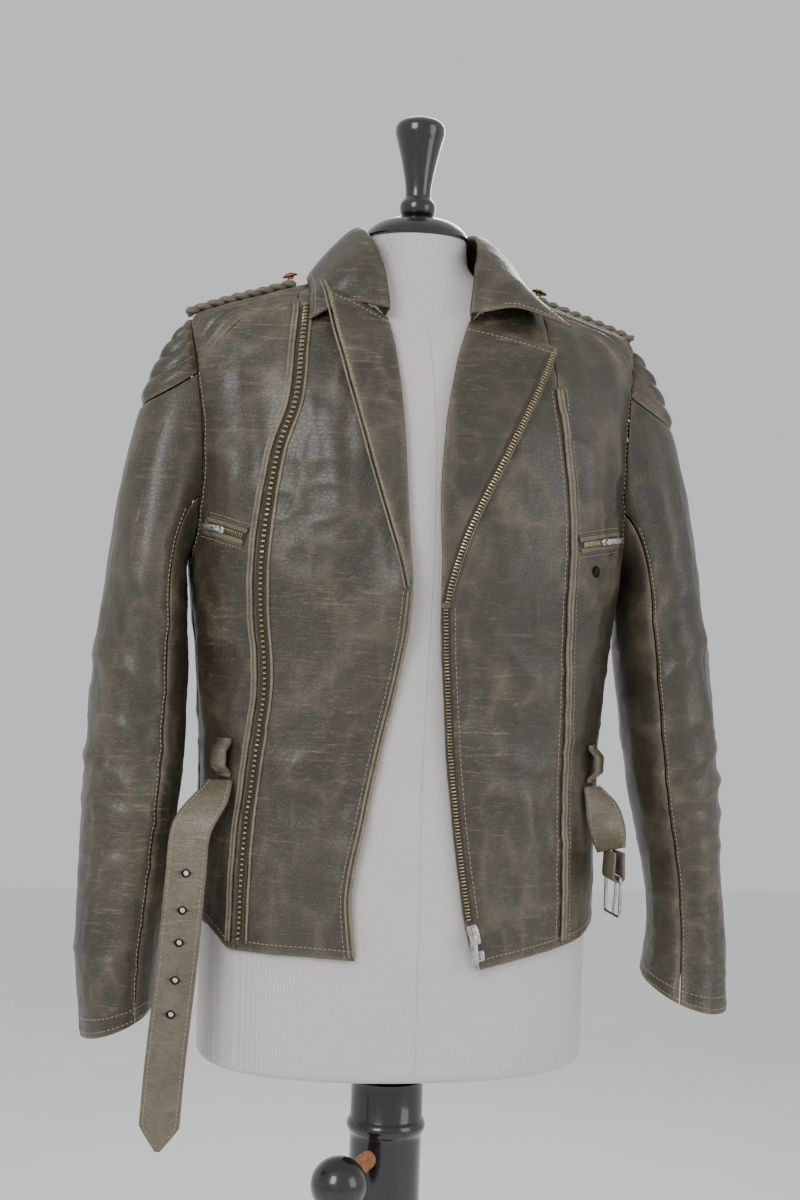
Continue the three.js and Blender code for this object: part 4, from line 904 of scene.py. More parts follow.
class Sleeve:
    """One sleeve's outer surface: psi goes round from the shoulder tip, v goes down"""

    def __init__(self, side, rings):
        self.side = side
        self.rings = rings
        self.count = len(rings)

    def start(self, psi):
        place = armhole(self.side, psi)
        normal = section_normal(place)
        point = section(place) + normal * (HIDE + fold_height(section(place)))[..., None]
        along = section(armhole(self.side, psi + 0.02)) - section(armhole(self.side, psi - 0.02))
        inward = unit(np.cross(normal, along))
        middle = section(pairs(self.side * math.pi / 2, ARMHOLE_MIDDLE))
        wrong = ((middle - point) * inward).sum(-1, keepdims=True) < 0
        return point + np.where(wrong, -inward, inward) * SLEEVE_START

    def ring(self, k, psi):
        (ox, oz), (ix, iz), y, depth, dip = self.rings[k]
        c = (np.cos(psi) + 1) / 2
        sag = dip * np.maximum(0, np.sin(psi - 0.3))
        return np.stack([ix + (ox - ix) * c, y - depth * np.sin(psi), iz + (oz - iz) * c - sag], -1)

    def smooth(self, psi, v):
        psi, v = np.broadcast_arrays(np.asarray(psi, float), np.asarray(v, float))
        points = [self.start(psi)] + [self.ring(k, psi) for k in range(self.count)]
        leave = unit(np.stack([np.full(psi.shape, 0.8 * self.side), -0.3 * np.sin(psi),
                               np.full(psi.shape, -0.6)], -1)) * 0.7
        heading = [leave, unit(points[2] - points[1])]
        heading += [unit(points[min(k + 1, self.count)] - points[k - 1])
                    for k in range(2, self.count + 1)]
        points, heading = np.array(points), np.array(heading)
        i = np.clip(np.floor(v).astype(int), 0, self.count - 1)
        pick = lambda stack, k: np.take_along_axis(stack, k[None, ..., None], 0)[0]
        a, b, da, db = pick(points, i), pick(points, i + 1), pick(heading, i), pick(heading, i + 1)
        span = np.linalg.norm(b - a, axis=-1, keepdims=True)
        t = (v - i)[..., None]
        return ((1 + 2 * t) * (1 - t) ** 2 * a + t * (1 - t) ** 2 * da * span
                + t * t * (3 - 2 * t) * b + t * t * (t - 1) * db * span)

    def normal(self, psi, v):
        v = np.asarray(v, float)
        down = (self.smooth(psi, np.minimum(v + 0.02, self.count))
                - self.smooth(psi, np.maximum(v - 0.02, 0)))
        around = self.smooth(psi + 0.02, v) - self.smooth(psi - 0.02, v)
        return unit(np.cross(around, down)) * self.side

    def at(self, psi, v, out=0.0, folded=1.0):
        """Points lifted by out; folds fade in below the armhole"""
        points = self.smooth(psi, v)
        fade = np.clip(np.asarray(v, float) / 0.8, 0, 1) * folded
        height = np.asarray(out) + fade * sleeve_height(points)
        return points + self.normal(psi, v) * height[..., None]


right_sleeve = Sleeve(-1, RIGHT_RINGS)
left_sleeve = Sleeve(1, LEFT_RINGS)
print("cuff points:", right_sleeve.smooth(0.0, 6.0).round(), left_sleeve.smooth(0.0, 6.0).round())

# %% Sleeve pieces
CAP_REACH = 0.42
CAP_GAP = 0.012
PSI_GAP = 0.009
SPREAD_FROM = 4.8
CUFF_SPREAD = 9 * DEG


def spread_at(spread, v):
    return spread * np.maximum(0, (v - SPREAD_FROM) / (6 - SPREAD_FROM))


def sleeve_shell(name, surface, psi, v, raised=0.0, sunk=0.0, folded=1.0, material=None):
    smooth = surface.smooth(psi, v)
    distance = edge_distance(smooth)
    outer = surface.at(psi, v, raised - sunk - roll_down(distance), folded)
    inner = surface.at(psi, v, -HIDE - sunk, folded)
    piece = shell(name + "_hide", outer, inner, wear_of(smooth, distance), material)
    fit(piece, "form", "leather", name)
    cut_piece(piece, smooth)
    return piece


def sleeve_cap(surface, word):
    t = shares_along(150, 1.7, (0.6, 1.6, 2.6))[:, None]
    fan = ((shares_along(240, 3.6) - 0.5) * math.pi)[None]
    psi = quilt_angle(t) * np.sin(fan)
    v = CAP_REACH * t * np.cos(fan)
    distance = edge_distance(surface.smooth(psi, v))
    raised = rib_height(t * QUILT_ROWS) * near_edges(distance)
    sleeve_shell(f"sleeve_cap_{word}", surface, psi, v, raised, folded=0.0)


def sleeve_body(surface, word, spread):
    grown = 1 + CAP_GAP
    rows = shares_along(620, 4.2)
    fan = (np.linspace(0, 1, 60) - 0.5) * math.pi
    lower = QUILT_END + LOWER_STEP * np.linspace(0.25, 4, 16)
    edge_psi = np.concatenate([QUILT_END * grown * np.sin(fan), lower])
    edge_v = np.concatenate([CAP_REACH * grown * np.cos(fan), np.zeros(16)])
    edge_psi[-1] -= PSI_GAP
    down = rows[:, None] * 6
    v = np.where(down < 1, edge_v + (1 - edge_v) * down, down)
    psi = np.repeat(edge_psi[None], len(rows), 0)
    across = np.linspace(0, 1, len(edge_psi))[None]
    psi = psi + spread_at(spread, v) * (1 - across) ** 6
    sleeve_shell(f"sleeve_top_{word}", surface, psi, v)
    back_seam = -QUILT_END * grown - PSI_GAP
    first = QUILT_END + 4 * LOWER_STEP + PSI_GAP
    share = shares_along(190, 4.2)[None]
    psi = first + (2 * math.pi + back_seam - first) * share
    v = np.repeat(down, share.shape[1], 1)
    sleeve_shell(f"sleeve_under_{word}", surface, psi - spread_at(spread, v) * share ** 6, v)


for surface, word, spread in ((right_sleeve, "right", 0.0), (left_sleeve, "left", CUFF_SPREAD)):
    sleeve_cap(surface, word)
    sleeve_body(surface, word, spread)
gusset_v = np.linspace(4.9, 5.85, 14)[:, None]
gusset_half = spread_at(CUFF_SPREAD, gusset_v) + 5 * DEG
gusset_psi = -QUILT_END * (1 + CAP_GAP) + gusset_half * np.linspace(-1, 1, 12)[None]
sleeve_shell("gusset_left", left_sleeve, gusset_psi, np.repeat(gusset_v, 12, 1),
             sunk=HIDE + 0.7, material=lining_cloth)

# %% [markdown]
# The two lapels turn back over the fronts, and the collar stands round the neck.
# A lapel lies on the body and lifts towards its tip, as the fold springs open.
# The collar goes through four lines: seam, roll, fall and edge, each a smooth rail.

# %% Smooth curves through points
def curve_at(points, shares):
    """A curve through points, at shares from 0 to 1 that give each span the same part"""
    points = np.array(points, float)
    spread = np.array([2 * points[0] - points[1], *points, 2 * points[-1] - points[-2]])
    shares = np.asarray(shares, float) * (len(points) - 1)
    i = np.clip(np.floor(shares).astype(int), 0, len(points) - 2)
    t = (shares - i)[:, None]
    p0, p1, p2, p3 = (spread[i + k] for k in range(4))
    gap = lambda a, b: np.maximum(np.linalg.norm(b - a, axis=1, keepdims=True) ** 0.5, 1e-4)
    d0, d1, d2 = gap(p0, p1), gap(p1, p2), gap(p2, p3)
    m1 = ((p1 - p0) / d0 - (p2 - p0) / (d0 + d1) + (p2 - p1) / d1) * d1
    m2 = ((p2 - p1) / d1 - (p3 - p1) / (d1 + d2) + (p3 - p2) / d2) * d1
    return ((2 * t ** 3 - 3 * t ** 2 + 1) * p1 + (t ** 3 - 2 * t ** 2 + t) * m1
            + (3 * t ** 2 - 2 * t ** 3) * p2 + (t ** 3 - t ** 2) * m2)


def evenly(points, count):
    """The same curve, at evenly spaced points"""
    dense = curve_at(points, np.linspace(0, 1, 40 * len(points)))
    run = run_of(dense)
    return picked(dense, run, np.linspace(0, run[-1], count))


def length_of(points):
    return float(np.linalg.norm(np.diff(points, axis=0), axis=1).sum())


# %% Lapels
LAY = 0.6
RIGHT_LAPEL_EDGE = [[-92, 1482], [-88, 1449], [-76, 1402], [-61, 1348], [-45, 1296], [-30, 1248],
                    [-24, 1222]]
LEFT_LAPEL_EDGE = [[119, 1443], [113, 1428], [85, 1374], [56, 1318], [31, 1264], [19, 1226],
                   [13, 1200]]


def lapel(word, opening, edge, base, tip):
    rows, cols = 74, 26
    foot = edge[-1][1]
    edge_line = evenly(edge, rows + 2)[1:-1]
    share = np.linspace(0, 1, rows + 2)[1:-1]
    level = NECKLINE_FRONT + (foot - NECKLINE_FRONT) * share
    u = shares_along(90, 4.0)[None]
    px = opening(level)[:, None] * (1 - u) + edge_line[:, :1] * u
    pz = level[:, None] * (1 - u) + edge_line[:, 1:] * u
    places = pairs(front_angle(px, pz), pz)
    lift = ON_LEATHER + base + (tip - base) * u * ((1 - share) ** 1.6)[:, None]
    smooth = section(places)
    distance = edge_distance(smooth)
    belly = 1.4 * np.sin(math.pi * u) * (1 - share[:, None] * 0.6)
    outer = skin(places, lift + HIDE + belly - 0.5 * roll_down(distance))
    inner = skin(places, lift + belly)
    piece = shell(f"lapel_{word}_hide", outer, inner, wear_of(smooth, distance, 1.0))
    fit(piece, "form", "leather", f"lapel_{word}")
    cut_piece(piece, smooth)
    return places, lift + belly


right_lapel_places, right_lapel_lift = lapel("right", right_opening, RIGHT_LAPEL_EDGE, 0.3, 20)
left_lapel_places, left_lapel_lift = lapel("left", left_opening, LEFT_LAPEL_EDGE, 0.3, 6)

# %% Collar
COLLAR_RIGHT = [
    [[-40, -69, 1467], [-38, -77, 1473], [-72, -72, 1478], [-110, -72, 1459]],
    [[-58, -60, 1488], [-43, -68, 1510], [-72, -70, 1504], [-108, -60, 1479]],
    [[-73, -45, 1501], [-50, -48, 1536], [-76, -50, 1524], [-106, -42, 1491]],
    [[-81, -10, 1511], [-54, -12, 1555], [-80, -14, 1538], [-105, -10, 1506]]]
COLLAR_LEFT = [
    [[40, -69, 1467], [38, -77, 1473], [78, -82, 1480], [132, -80, 1466]],
    [[58, -60, 1488], [43, -68, 1510], [74, -72, 1506], [118, -62, 1482]],
    [[73, -45, 1501], [50, -48, 1536], [76, -50, 1524], [109, -42, 1492]],
    [[81, -10, 1511], [54, -12, 1555], [80, -14, 1538], [104, -10, 1506]]]
COLLAR_BACK = [
    [[-66, 45, 1508], [-42, 40, 1560], [-60, 60, 1542], [-76, 82, 1503]],
    [[0, 61.8, 1501], [0, 57, 1563], [0, 80, 1544], [0, 96, 1500]],
    [[66, 45, 1508], [42, 40, 1560], [60, 60, 1542], [76, 82, 1503]]]
COLLAR_HALF = 1.1


def collar_grid(stations, across):
    """Seven lines round the neck, joined across by smooth curves"""
    rows = np.array(COLLAR_RIGHT + COLLAR_BACK + COLLAR_LEFT[::-1], float)
    share = np.linspace(0, 1, stations)
    seam, roll, fall, edge = (curve_at(rows[:, k], share) for k in range(4))
    stand = (seam + roll) / 2
    turn = roll + (fall - roll) * 0.3
    turn[:, 2] = roll[:, 2] + (fall[:, 2] - roll[:, 2]) * 0.12 + 1
    leaf = (fall + edge) / 2 + [0, 0, 1.5]
    lines = np.stack([seam, stand, roll, turn, fall, leaf, edge])
    u = np.linspace(0, 1, across)
    return np.stack([curve_at(lines[:, k], u) for k in range(stations)])


def grid_normals(grid):
    return unit(np.cross(np.gradient(grid, axis=0), np.gradient(grid, axis=1)))


collar_middle = collar_grid(150, 44)
collar_normals = grid_normals(collar_middle)
collar_distance = edge_distance(collar_middle)
collar_relief = (0.5 * creases(collar_middle) * np.clip(collar_distance / 8, 0, 1))[..., None]
collar_roll = (0.45 * roll_down(collar_distance))[..., None]
collar_side = np.sign((collar_normals[:, -6] * (collar_middle[:, -6] - [0, 0, 1400])).sum())
collar_normals = collar_normals * collar_side
collar_piece = shell("collar_hide",
                     collar_middle + collar_normals * (COLLAR_HALF + collar_relief - collar_roll),
                     collar_middle - collar_normals * (COLLAR_HALF - collar_relief - collar_roll),
                     wear_of(collar_middle, collar_distance, 1.0))
fit(collar_piece, "form", "leather", "collar")
cut_piece(collar_piece, collar_middle)

# %% [markdown]
# Welts, zip tapes, piping and straps are long and thin, so one helper lofts them all.
# It needs a line of points with a sideways and an upward direction at each,
# and an outline that is repeated from point to point and closed at both ends.

# %% Lofted strips
def loft(name, points, across, up, outline, material, scale=None, wear=None):
    """A bar: outline is a list of (sideways, upwards) mm, scale varies it on the way"""
    outline = np.array(outline, float)
    count, n = len(points), len(outline)
    scale = np.ones(count) if scale is None else np.asarray(scale)
    rings = (points[:, None] + across[:, None] * outline[None, :, :1] * scale[:, None, None]
             + up[:, None] * outline[None, :, 1:])
    faces = []
    for i in range(count - 1):
        for j in range(n):
            k = (j + 1) % n
            faces.append((i * n + j, i * n + k, (i + 1) * n + k, (i + 1) * n + j))
    faces.append(tuple(range(n))[::-1])
    faces.append(tuple((count - 1) * n + j for j in range(n)))
    vertices = rings.reshape(-1, 3)
    faces = all_turned_out(vertices, faces, faces[:-2])
    rubbed = None if wear is None else np.full(len(vertices), wear)
    return make_mesh(name, vertices, faces, material, rubbed)


def round_bar(width, thick, base=0.0, soft=0.45):
    """A flat bar's outline with rounded edges; it stands on `base`"""
    half, r = width / 2, thick * soft
    corners = [(half - r, base + r, -90), (half - r, base + thick - r, 0),
               (-half + r, base + thick - r, 90), (-half + r, base + r, 180)]
    return [(x + r * math.cos((start + a) * DEG), z + r * math.sin((start + a) * DEG))
            for x, z, start in corners for a in (0, 30, 60, 90)]


def circle(radius, sides=10, centre=(0.0, 0.0)):
    return [(centre[0] + radius * math.cos(2 * math.pi * k / sides),
             centre[1] + radius * math.sin(2 * math.pi * k / sides)) for k in range(sides)]


def frames_of(points, normals):
    along = unit(np.gradient(points, axis=0))
    across = unit(np.cross(along, normals))
    return points, across, unit(np.cross(across, along))


def run_on_front(path, step, out, lift=None, shift=0.0):
    """Frames along a path of [x, z] on the front; shift moves it sideways in mm"""
    flat = evenly(path, 200)
    count = max(3, round(length_of(flat) / step))
    flat = evenly(path, count)
    heading = unit(np.gradient(flat, axis=0))
    flat = flat + shift * np.stack([heading[:, 1], -heading[:, 0]], -1)
    places = pairs(front_angle(flat[:, 0], flat[:, 1]), flat[:, 1])
    height = out + (0 if lift is None else lift(np.linspace(0, 1, count)))
    return frames_of(skin(places, height), section_normal(places))


def joined(name, parts):
    """Several pieces made into one mesh"""
    pick_only(*parts)
    bpy.ops.object.join()
    whole = bpy.context.object
    whole.name = whole.data.name = name
    return whole


# %% [markdown]
# Metal zip teeth are cast one by one on the edge of a woven tape.
# One small tooth is modelled, then set along the tape at its pitch, some 5 mm here.
# Each tooth has only a few faces, because there are hundreds of them.

# %% Zip teeth
TOOTH_OUTLINE = [(-0.5, 0.0), (0.5, 0.0), (0.5, 0.62), (0.26, 1.0), (-0.26, 1.0), (-0.5, 0.62)]


def teeth(name, frames, pitch, reach, height):
    """Teeth along a run; reach is how far each goes sideways, from and to"""
    points, across, up = frames
    run = run_of(points)
    at = np.arange(pitch / 2, run[-1], pitch)
    centre = picked(points, run, at)
    side, rise = unit(picked(across, run, at)), unit(picked(up, run, at))
    forward = unit(np.cross(side, rise))
    thick = pitch * 0.62
    sections = [(reach[0], 0.72, 0.75), (reach[0] * 0.4 + reach[1] * 0.6, 1.0, 1.0),
                (reach[1], 1.08, 0.62)]
    n = len(TOOTH_OUTLINE)
    local = np.array([(a * thick * wide, s, u * height * tall)
                      for s, wide, tall in sections for a, u in TOOTH_OUTLINE])
    vertices = (centre[:, None] + forward[:, None] * local[None, :, :1]
                + side[:, None] * local[None, :, 1:2] + rise[:, None] * local[None, :, 2:])
    shape = [(k * n + j, k * n + (j + 1) % n, (k + 1) * n + (j + 1) % n, (k + 1) * n + j)
             for k in range(2) for j in range(n)]
    shape += [tuple(range(n))[::-1], tuple(2 * n + j for j in range(n))]
    shape = all_turned_out(vertices[0], shape, shape[:2 * n])
    faces = [tuple(3 * n * i + v for v in face) for i in range(len(at)) for face in shape]
    piece = make_mesh(name, vertices.reshape(-1, 3), faces, tooth_metal, smooth=False)
    print(name, "teeth:", len(at))
    return piece


ZIP_HEIGHTS = [1474, 1434, 1382, 1337, 1266, 1205, 1134, 1080, 999, 940, 899]
side_path = [[-(float(zip_line(z)) - 4), z] for z in ZIP_HEIGHTS]
side_run = run_on_front(side_path, 3.0, ON_STRIP + 0.2)
fit(teeth("side_zip_teeth", side_run, 4.7, (-2.2, 2.2), 2.9), "form", "zip_teeth", "zip_right")
tape = loft("side_zip_tape", *run_on_front(side_path, 4.0, HIDE + 0.2), round_bar(11, 0.8),
            tape_cloth)
fit(tape, "form", "leather")

LAPEL_ZIP_PATH = [[112, 1434], [107, 1425], [81, 1376], [52, 1320], [27, 1266], [15, 1226],
                  [12, 1208]]
lapel_lift = lambda t: 6 * (1 - t * 0.86) ** 1.6 + 0.1
lapel_run = run_on_front(LAPEL_ZIP_PATH, 3.0, ON_STRIP + HIDE + LAY - 0.1, lapel_lift)
fit(teeth("lapel_zip_teeth", lapel_run, 3.1, (-1.6, 2.6), 2.4), "form", "zip_teeth", "zip_lapel")
front_path = [[float(left_opening(z)) + 4, z] for z in (1204, 1131, 1080, 1033, 990, 954, 926)]
front_run = run_on_front(front_path, 3.0, ON_STRIP + 0.3)
fit(teeth("front_zip_teeth", front_run, 3.1, (-1.8, 2.2), 2.5), "form", "zip_teeth", "zip_left")
for label, path, out, lift, shift in (
        ("lapel", LAPEL_ZIP_PATH, ON_STRIP + HIDE + LAY - 0.9, lapel_lift, 1.2),
        ("front", front_path, HIDE + 0.3, None, -0.8)):
    tape = loft(f"{label}_zip_tape", *run_on_front(path, 4.0, out, lift, shift),
                round_bar(8, 0.8), tape_cloth)
    fit(tape, "form", "leather")

# %% [markdown]
# The seams beside the zips are piped: a cord is wrapped in hide and sewn into the seam.
# Years of rubbing have left these raised lines the palest on the whole jacket.

# %% Welts and piping
def piping(name, frames, radius):
    piece = loft(name, *frames, circle(radius, 10), trim_leather, wear=0.9)
    return fit(piece, "form", "leather")


def piped_welt(name, path, width, node, out=ON_STRIP):
    frames = run_on_front(path, 3.0, out)
    crown = [(-width / 2, 0), (width / 2, 0), (width / 2, 0.9), (width * 0.25, 1.9), (0, 1.2),
             (-width * 0.25, 1.9), (-width / 2, 0.9)]
    cords = [loft(f"{name}_cord", *frames, circle(1.2, 10, (side * width * 0.3, 1.1)),
                  trim_leather, wear=0.85) for side in (-1, 1)]
    core = loft(name, *frames, crown, trim_leather, wear=0.35)
    return fit(joined(name, [core, *cords]), "form", "leather", node)


welt_path = [[-(float(zip_line(z)) + 4.5), z] for z in ZIP_HEIGHTS]
piped_welt("side_zip_welt", welt_path, 6, "welt_right")
princess_path = [[float(princess_line(z)), z] for z in (1405, 1350, 1269, 1214, 1123, 1031, 940, 903)]
piped_welt("left_seam_welt", princess_path, 7, "welt_left")
inner_path = [[-(float(zip_line(z)) - 9.5), z] for z in ZIP_HEIGHTS]
piping("side_zip_inner_piping", run_on_front(inner_path, 3.0, HIDE + 0.9), 1.3)

edge_heights = [1218, 1165, 1125, 1085, 1045, 1005, 975, 944, 915, 893]
right_edge_path = [[float(right_opening(z)) - 0.6, z] for z in edge_heights]
piping("right_front_edge", run_on_front(right_edge_path, 3.0, HIDE * 0.6), 1.5)
piping("right_front_edge_second", run_on_front(right_edge_path, 3.0, HIDE + 0.5, shift=4.0), 1.0)
tip_lift = lambda t: (20 - 0.3) * (1 - t) ** 1.6 + 0.3
piping("right_lapel_edge", run_on_front(RIGHT_LAPEL_EDGE, 3.0, ON_LEATHER + HIDE * 0.6, tip_lift), 1.3)
piping("right_lapel_cord", run_on_front(RIGHT_LAPEL_EDGE, 3.0, ON_LEATHER + HIDE + 0.4, tip_lift,
                                        shift=4.0), 0.9)

# %% [markdown]
# Between the fall of the collar and the top of each lapel a slip of the collar's stand shows.
# It is a short flat strip that runs along the neck seam, under both.

# %% Gorge slips
for word, side in (("right", -1), ("left", 1)):
    path = [[side * x, z] for x, z in ((44, 1458), (48, 1462), (52, 1466), (56, 1470))]
    frames = run_on_front(path, 3.0, 0.4)
    slip = loft(f"gorge_slip_{word}", *frames, round_bar(17, 1.4), trim_leather)
    fit(slip, "form", "leather")

# %% [markdown]
# Topstitching holds the folded edges down. The thread is tan and thick enough to see.
# One stitch is a short spindle; it is repeated along each line and lies on the hide.

# %% Stitches
STITCH_RING = [(-1.0, 0.35), (-0.55, 1.0), (0.55, 1.0), (1.0, 0.35)]


def stitches(name, lines, pitch=4.4, length=3.1, radius=0.42):
    """lines is a list of (points, normals), each a row of places to sew along"""
    vertices, faces = [], []
    start = 0
    for points, normals in lines:
        run = run_of(points)
        if run[-1] < pitch:
            continue
        at = np.arange(pitch / 2, run[-1], pitch)
        centre, rise = picked(points, run, at), unit(picked(normals, run, at))
        forward = unit(picked(unit(np.gradient(points, axis=0)), run, at))
        side = unit(np.cross(forward, rise))
        for middle, f, s, r in zip(centre, forward, side, rise):
            for reach, wide in STITCH_RING:
                drop = 0.25 * radius if abs(reach) > 0.9 else 0
                for k in range(4):
                    a = math.pi * (2 * k + 1) / 4
                    vertices.append(middle + f * reach * length / 2
                                    + s * math.cos(a) * radius * wide
                                    + r * (math.sin(a) * radius * wide - drop))
            for ring in range(3):
                for k in range(4):
                    a, b = start + ring * 4 + k, start + ring * 4 + (k + 1) % 4
                    faces.append((a, b, b + 4, a + 4))
            faces.append((start + 3, start + 2, start + 1, start))
            faces.append((start + 12, start + 13, start + 14, start + 15))
            start += 16
    vertices = np.array(vertices)
    faces = all_turned_out(vertices, faces, faces[:12])
    piece = make_mesh(name, vertices, faces, tan_thread)
    fit(piece, "form", "leather")
    print(name, "stitches:", start // 16)


def line_on_front(path, out, lift=None, shift=0.0):
    points, _, up = run_on_front(path, 3.0, out, lift, shift)
    return points, up


def line_on_places(places, out):
    return skin(places, np.full(len(places), out)), section_normal(places)


def hem_line(hem, x_from, x_to, rise):
    x = np.linspace(x_from, x_to, 60)
    z = hem(x) + rise
    return line_on_places(pairs(front_angle(x, z), z), HIDE + 0.15)


HEM_STITCH = 9
front_lines = [
    line_on_front(welt_path, HIDE + 0.15, shift=-7.5),
    line_on_front(inner_path, HIDE + 0.15, shift=5.0),
    line_on_front(princess_path, HIDE + 0.15, shift=-7.0),
    line_on_front(princess_path, HIDE + 0.15, shift=7.0),
    line_on_front(right_edge_path, HIDE + 0.15, shift=8.0),
    line_on_front(front_path, HIDE + 0.15, shift=-9.0),
    hem_line(right_hem, -183, -60, HEM_STITCH), hem_line(left_hem, 57, 183, HEM_STITCH),
]
phi = np.linspace(92, 268, 90) * DEG
back_hem = pairs(phi, SIDE_HEM - BACK_HEM_DIP * np.sin(phi - math.pi / 2) + HEM_STITCH)
front_lines.append(line_on_places(back_hem, HIDE + 0.15))
for side in (-1, 1):
    psi = np.linspace(QUILT_END + 0.05, 2 * math.pi - QUILT_END - 0.05, 100)
    ring = armhole(side, psi)
    middle = np.array([side * math.pi / 2, ARMHOLE_MIDDLE])
    away = unit((ring - middle) * [200, 1]) * [1 / 200, 1] * 6.0
    front_lines.append(line_on_places(ring + away, HIDE + 0.15))
stitches("body_topstitch", front_lines)

lapel_lines = []
for grid, lift, column in ((right_lapel_places, right_lapel_lift, -3),
                           (left_lapel_places, left_lapel_lift, -4)):
    edge, height = grid[:, column], lift[:, column]
    points = skin(edge, height + HIDE + 0.1)
    lapel_lines.append((points, section_normal(edge)))
    top, height = grid[2], np.broadcast_to(lift, grid.shape[:2])[2]
    lapel_lines.append((skin(top, height + HIDE + 0.1), section_normal(top)))
stitches("lapel_topstitch", lapel_lines)
collar_face = collar_middle + collar_normals * (COLLAR_HALF + 0.1 + collar_relief)
stitches("collar_topstitch", [(collar_face[3:-3, -3], collar_normals[3:-3, -3]),
                              (collar_face[2, 26:], collar_normals[2, 26:]),
                              (collar_face[-3, 26:], collar_normals[-3, 26:])])

# %% Sleeve and quilting stitches
def sleeve_line(surface, psi, v, out=0.12, folded=1.0):
    psi, v = np.broadcast_arrays(np.asarray(psi, float), np.asarray(v, float))
    return surface.at(psi, v, out, folded), surface.normal(psi, v)


sleeve_lines = []
down = np.linspace(0.3, 5.9, 160)
around = np.linspace(0, 2 * math.pi, 90)
for surface, spread in ((right_sleeve, 0.0), (left_sleeve, CUFF_SPREAD)):
    front_seam = QUILT_END + 4 * LOWER_STEP
    sleeve_lines.append(sleeve_line(surface, front_seam - 0.07, down))
    back_seam = -QUILT_END * (1 + CAP_GAP)
    upper = np.linspace(0.3, 4.7, 130)
    sleeve_lines.append(sleeve_line(surface, back_seam + 0.07, upper))
    open_from = 2 * math.pi + back_seam - spread - 0.12
    cuff = np.linspace(back_seam + spread + 0.12, open_from, 90)
    sleeve_lines.append(sleeve_line(surface, cuff, 5.78))
    sleeve_lines.append(sleeve_line(surface, cuff, 5.93))
stitches("sleeve_topstitch", sleeve_lines)

quilt_lines = []
for side, surface, seam in ((-1, right_sleeve, zip_line), (1, left_sleeve, princess_line)):
    for k in range(1, RIBS):
        t = k / RIBS
        fan = (np.linspace(0.02, 0.98, 80) - 0.5) * math.pi
        quilt_lines.append(sleeve_line(surface, quilt_angle(t) * np.sin(fan),
                                       CAP_REACH * t * np.cos(fan), 0.45, 0.0))
    neck_corners = yoke_neck(side, seam)
    for k in range(1, RIBS):
        arm_psi = quilt_angle(1 - 2 * k / QUILT_ROWS)
        u = np.linspace(0.04, 0.96, 60)[:, None]
        for turn, corners in ((1, neck_corners[:2]), (-1, neck_corners[:0:-1])):
            arm = armhole(side, np.array([turn * arm_psi]))[0]
            neck = places_along(corners, [2 * k / (QUILT_ROWS + 1)])[0]
            places = (1 - u) * arm + u * neck
            quilt_lines.append((skin(places, np.full(60, HIDE + 0.45), 0.35),
                                section_normal(places)))
stitches("quilting", quilt_lines, 3.4, 2.4, 0.36)

# %% [markdown]
# The belt is a thick band: it runs round the back, and its two ends hang in front.
# The long end has five punched holes with metal eyelets, and a pointed tip.
# A strap is lofted flat along its path, then the holes are cut by a boolean.

# %% Belt straps
BELT_Z = 1042
BELT_WIDTH = 36
BELT_THICK = 3.0
STRAP_WEAR = 0.35


def strap(name, stations, node):
    """stations: a centre, a sideways direction and a width in mm at each"""
    centres = np.array([s[0] for s in stations], float)
    sideways = np.array([s[1] for s in stations], float)
    widths = np.array([s[2] for s in stations], float)
    share = np.linspace(0, 1, max(8, round(length_of(centres) / 3.0)))
    points = curve_at(centres, share)
    index = share * (len(stations) - 1)
    pick = lambda rows: np.interp(index, np.arange(len(rows)), rows)
    across = unit(np.stack([pick(sideways[:, k]) for k in range(3)], -1))
    along = unit(np.gradient(points, axis=0))
    across = unit(across - along * (across * along).sum(-1, keepdims=True))
    up = unit(np.cross(across, along))
    if up[:, 1].mean() > 0:
        up = -up
    width = pick(widths)
    piece = loft(name, points, across, up, strap_outline(), strap_leather, width, STRAP_WEAR)
    fit(piece, "form", "leather", node)
    return piece, (points, across, up, width)


def strap_outline():
    """One mm wide, to be scaled: crowned faces and slightly rounded raw edges"""
    half = BELT_THICK / 2
    return [(-0.5, -half * 0.55), (-0.48, -half), (0, -half), (0.48, -half), (0.5, -half * 0.55),
            (0.5, half * 0.55), (0.48, half * 0.95), (0.42, half * 1.08), (0.36, half * 0.98),
            (0, half * 1.12), (-0.36, half * 0.98), (-0.42, half * 1.08), (-0.48, half * 0.95),
            (-0.5, half * 0.55)]


STRAP_TURN = (0.98, -0.19, 0)
HANG = [(-201, -84, 1000), (-205, -88, 960), (-208, -90, 915), (-211, -90, 872), (-214, -90, 838),
        (-218, -90, 790), (-221, -90, 738)]
long_stations = [((-174.6, -61.8, 1041), (0.76, -0.65, 0), 26),
                 ((-184, -74, 1026), (0.9, -0.42, 0), 34)]
long_stations += [(at, STRAP_TURN, BELT_WIDTH) for at in HANG]
long_stations += [((-222, -90, 716), STRAP_TURN, 5)]
long_strap, long_frames = strap("belt_long_end", long_stations, "belt_right")
short_stations = [((172, -64.6, 1041), (0.76, 0.65, 0), 26), ((179, -73, 1024), (0.9, 0.1, 0), 32),
                  ((184, -80, 1003), (0.8, -0.5, 0), 34), ((187, -84, 984.6), (0.5, -0.85, 0), 35)]
short_frames = strap("belt_short_end", short_stations, "belt_left")[1]

# %% Holes and eyelets
EYELETS = [(-205, 962), (-207, 929), (-209, 899), (-212, 868), (-214, 838)]


def frame_near(frames, height):
    points, across, up, _ = frames
    k = int(np.abs(points[:, 2] - height).argmin())
    return points[k], across[k], up[k]


def set_on(mesh, centre, axis):
    """Moves a mesh that was made round the upright axis onto a centre and axis, mm"""
    turn = Vector((0, 0, 1)).rotation_difference(Vector(axis)).to_matrix().to_4x4()
    mesh.transform(Matrix.Translation(Vector(centre) * MM) @ turn)


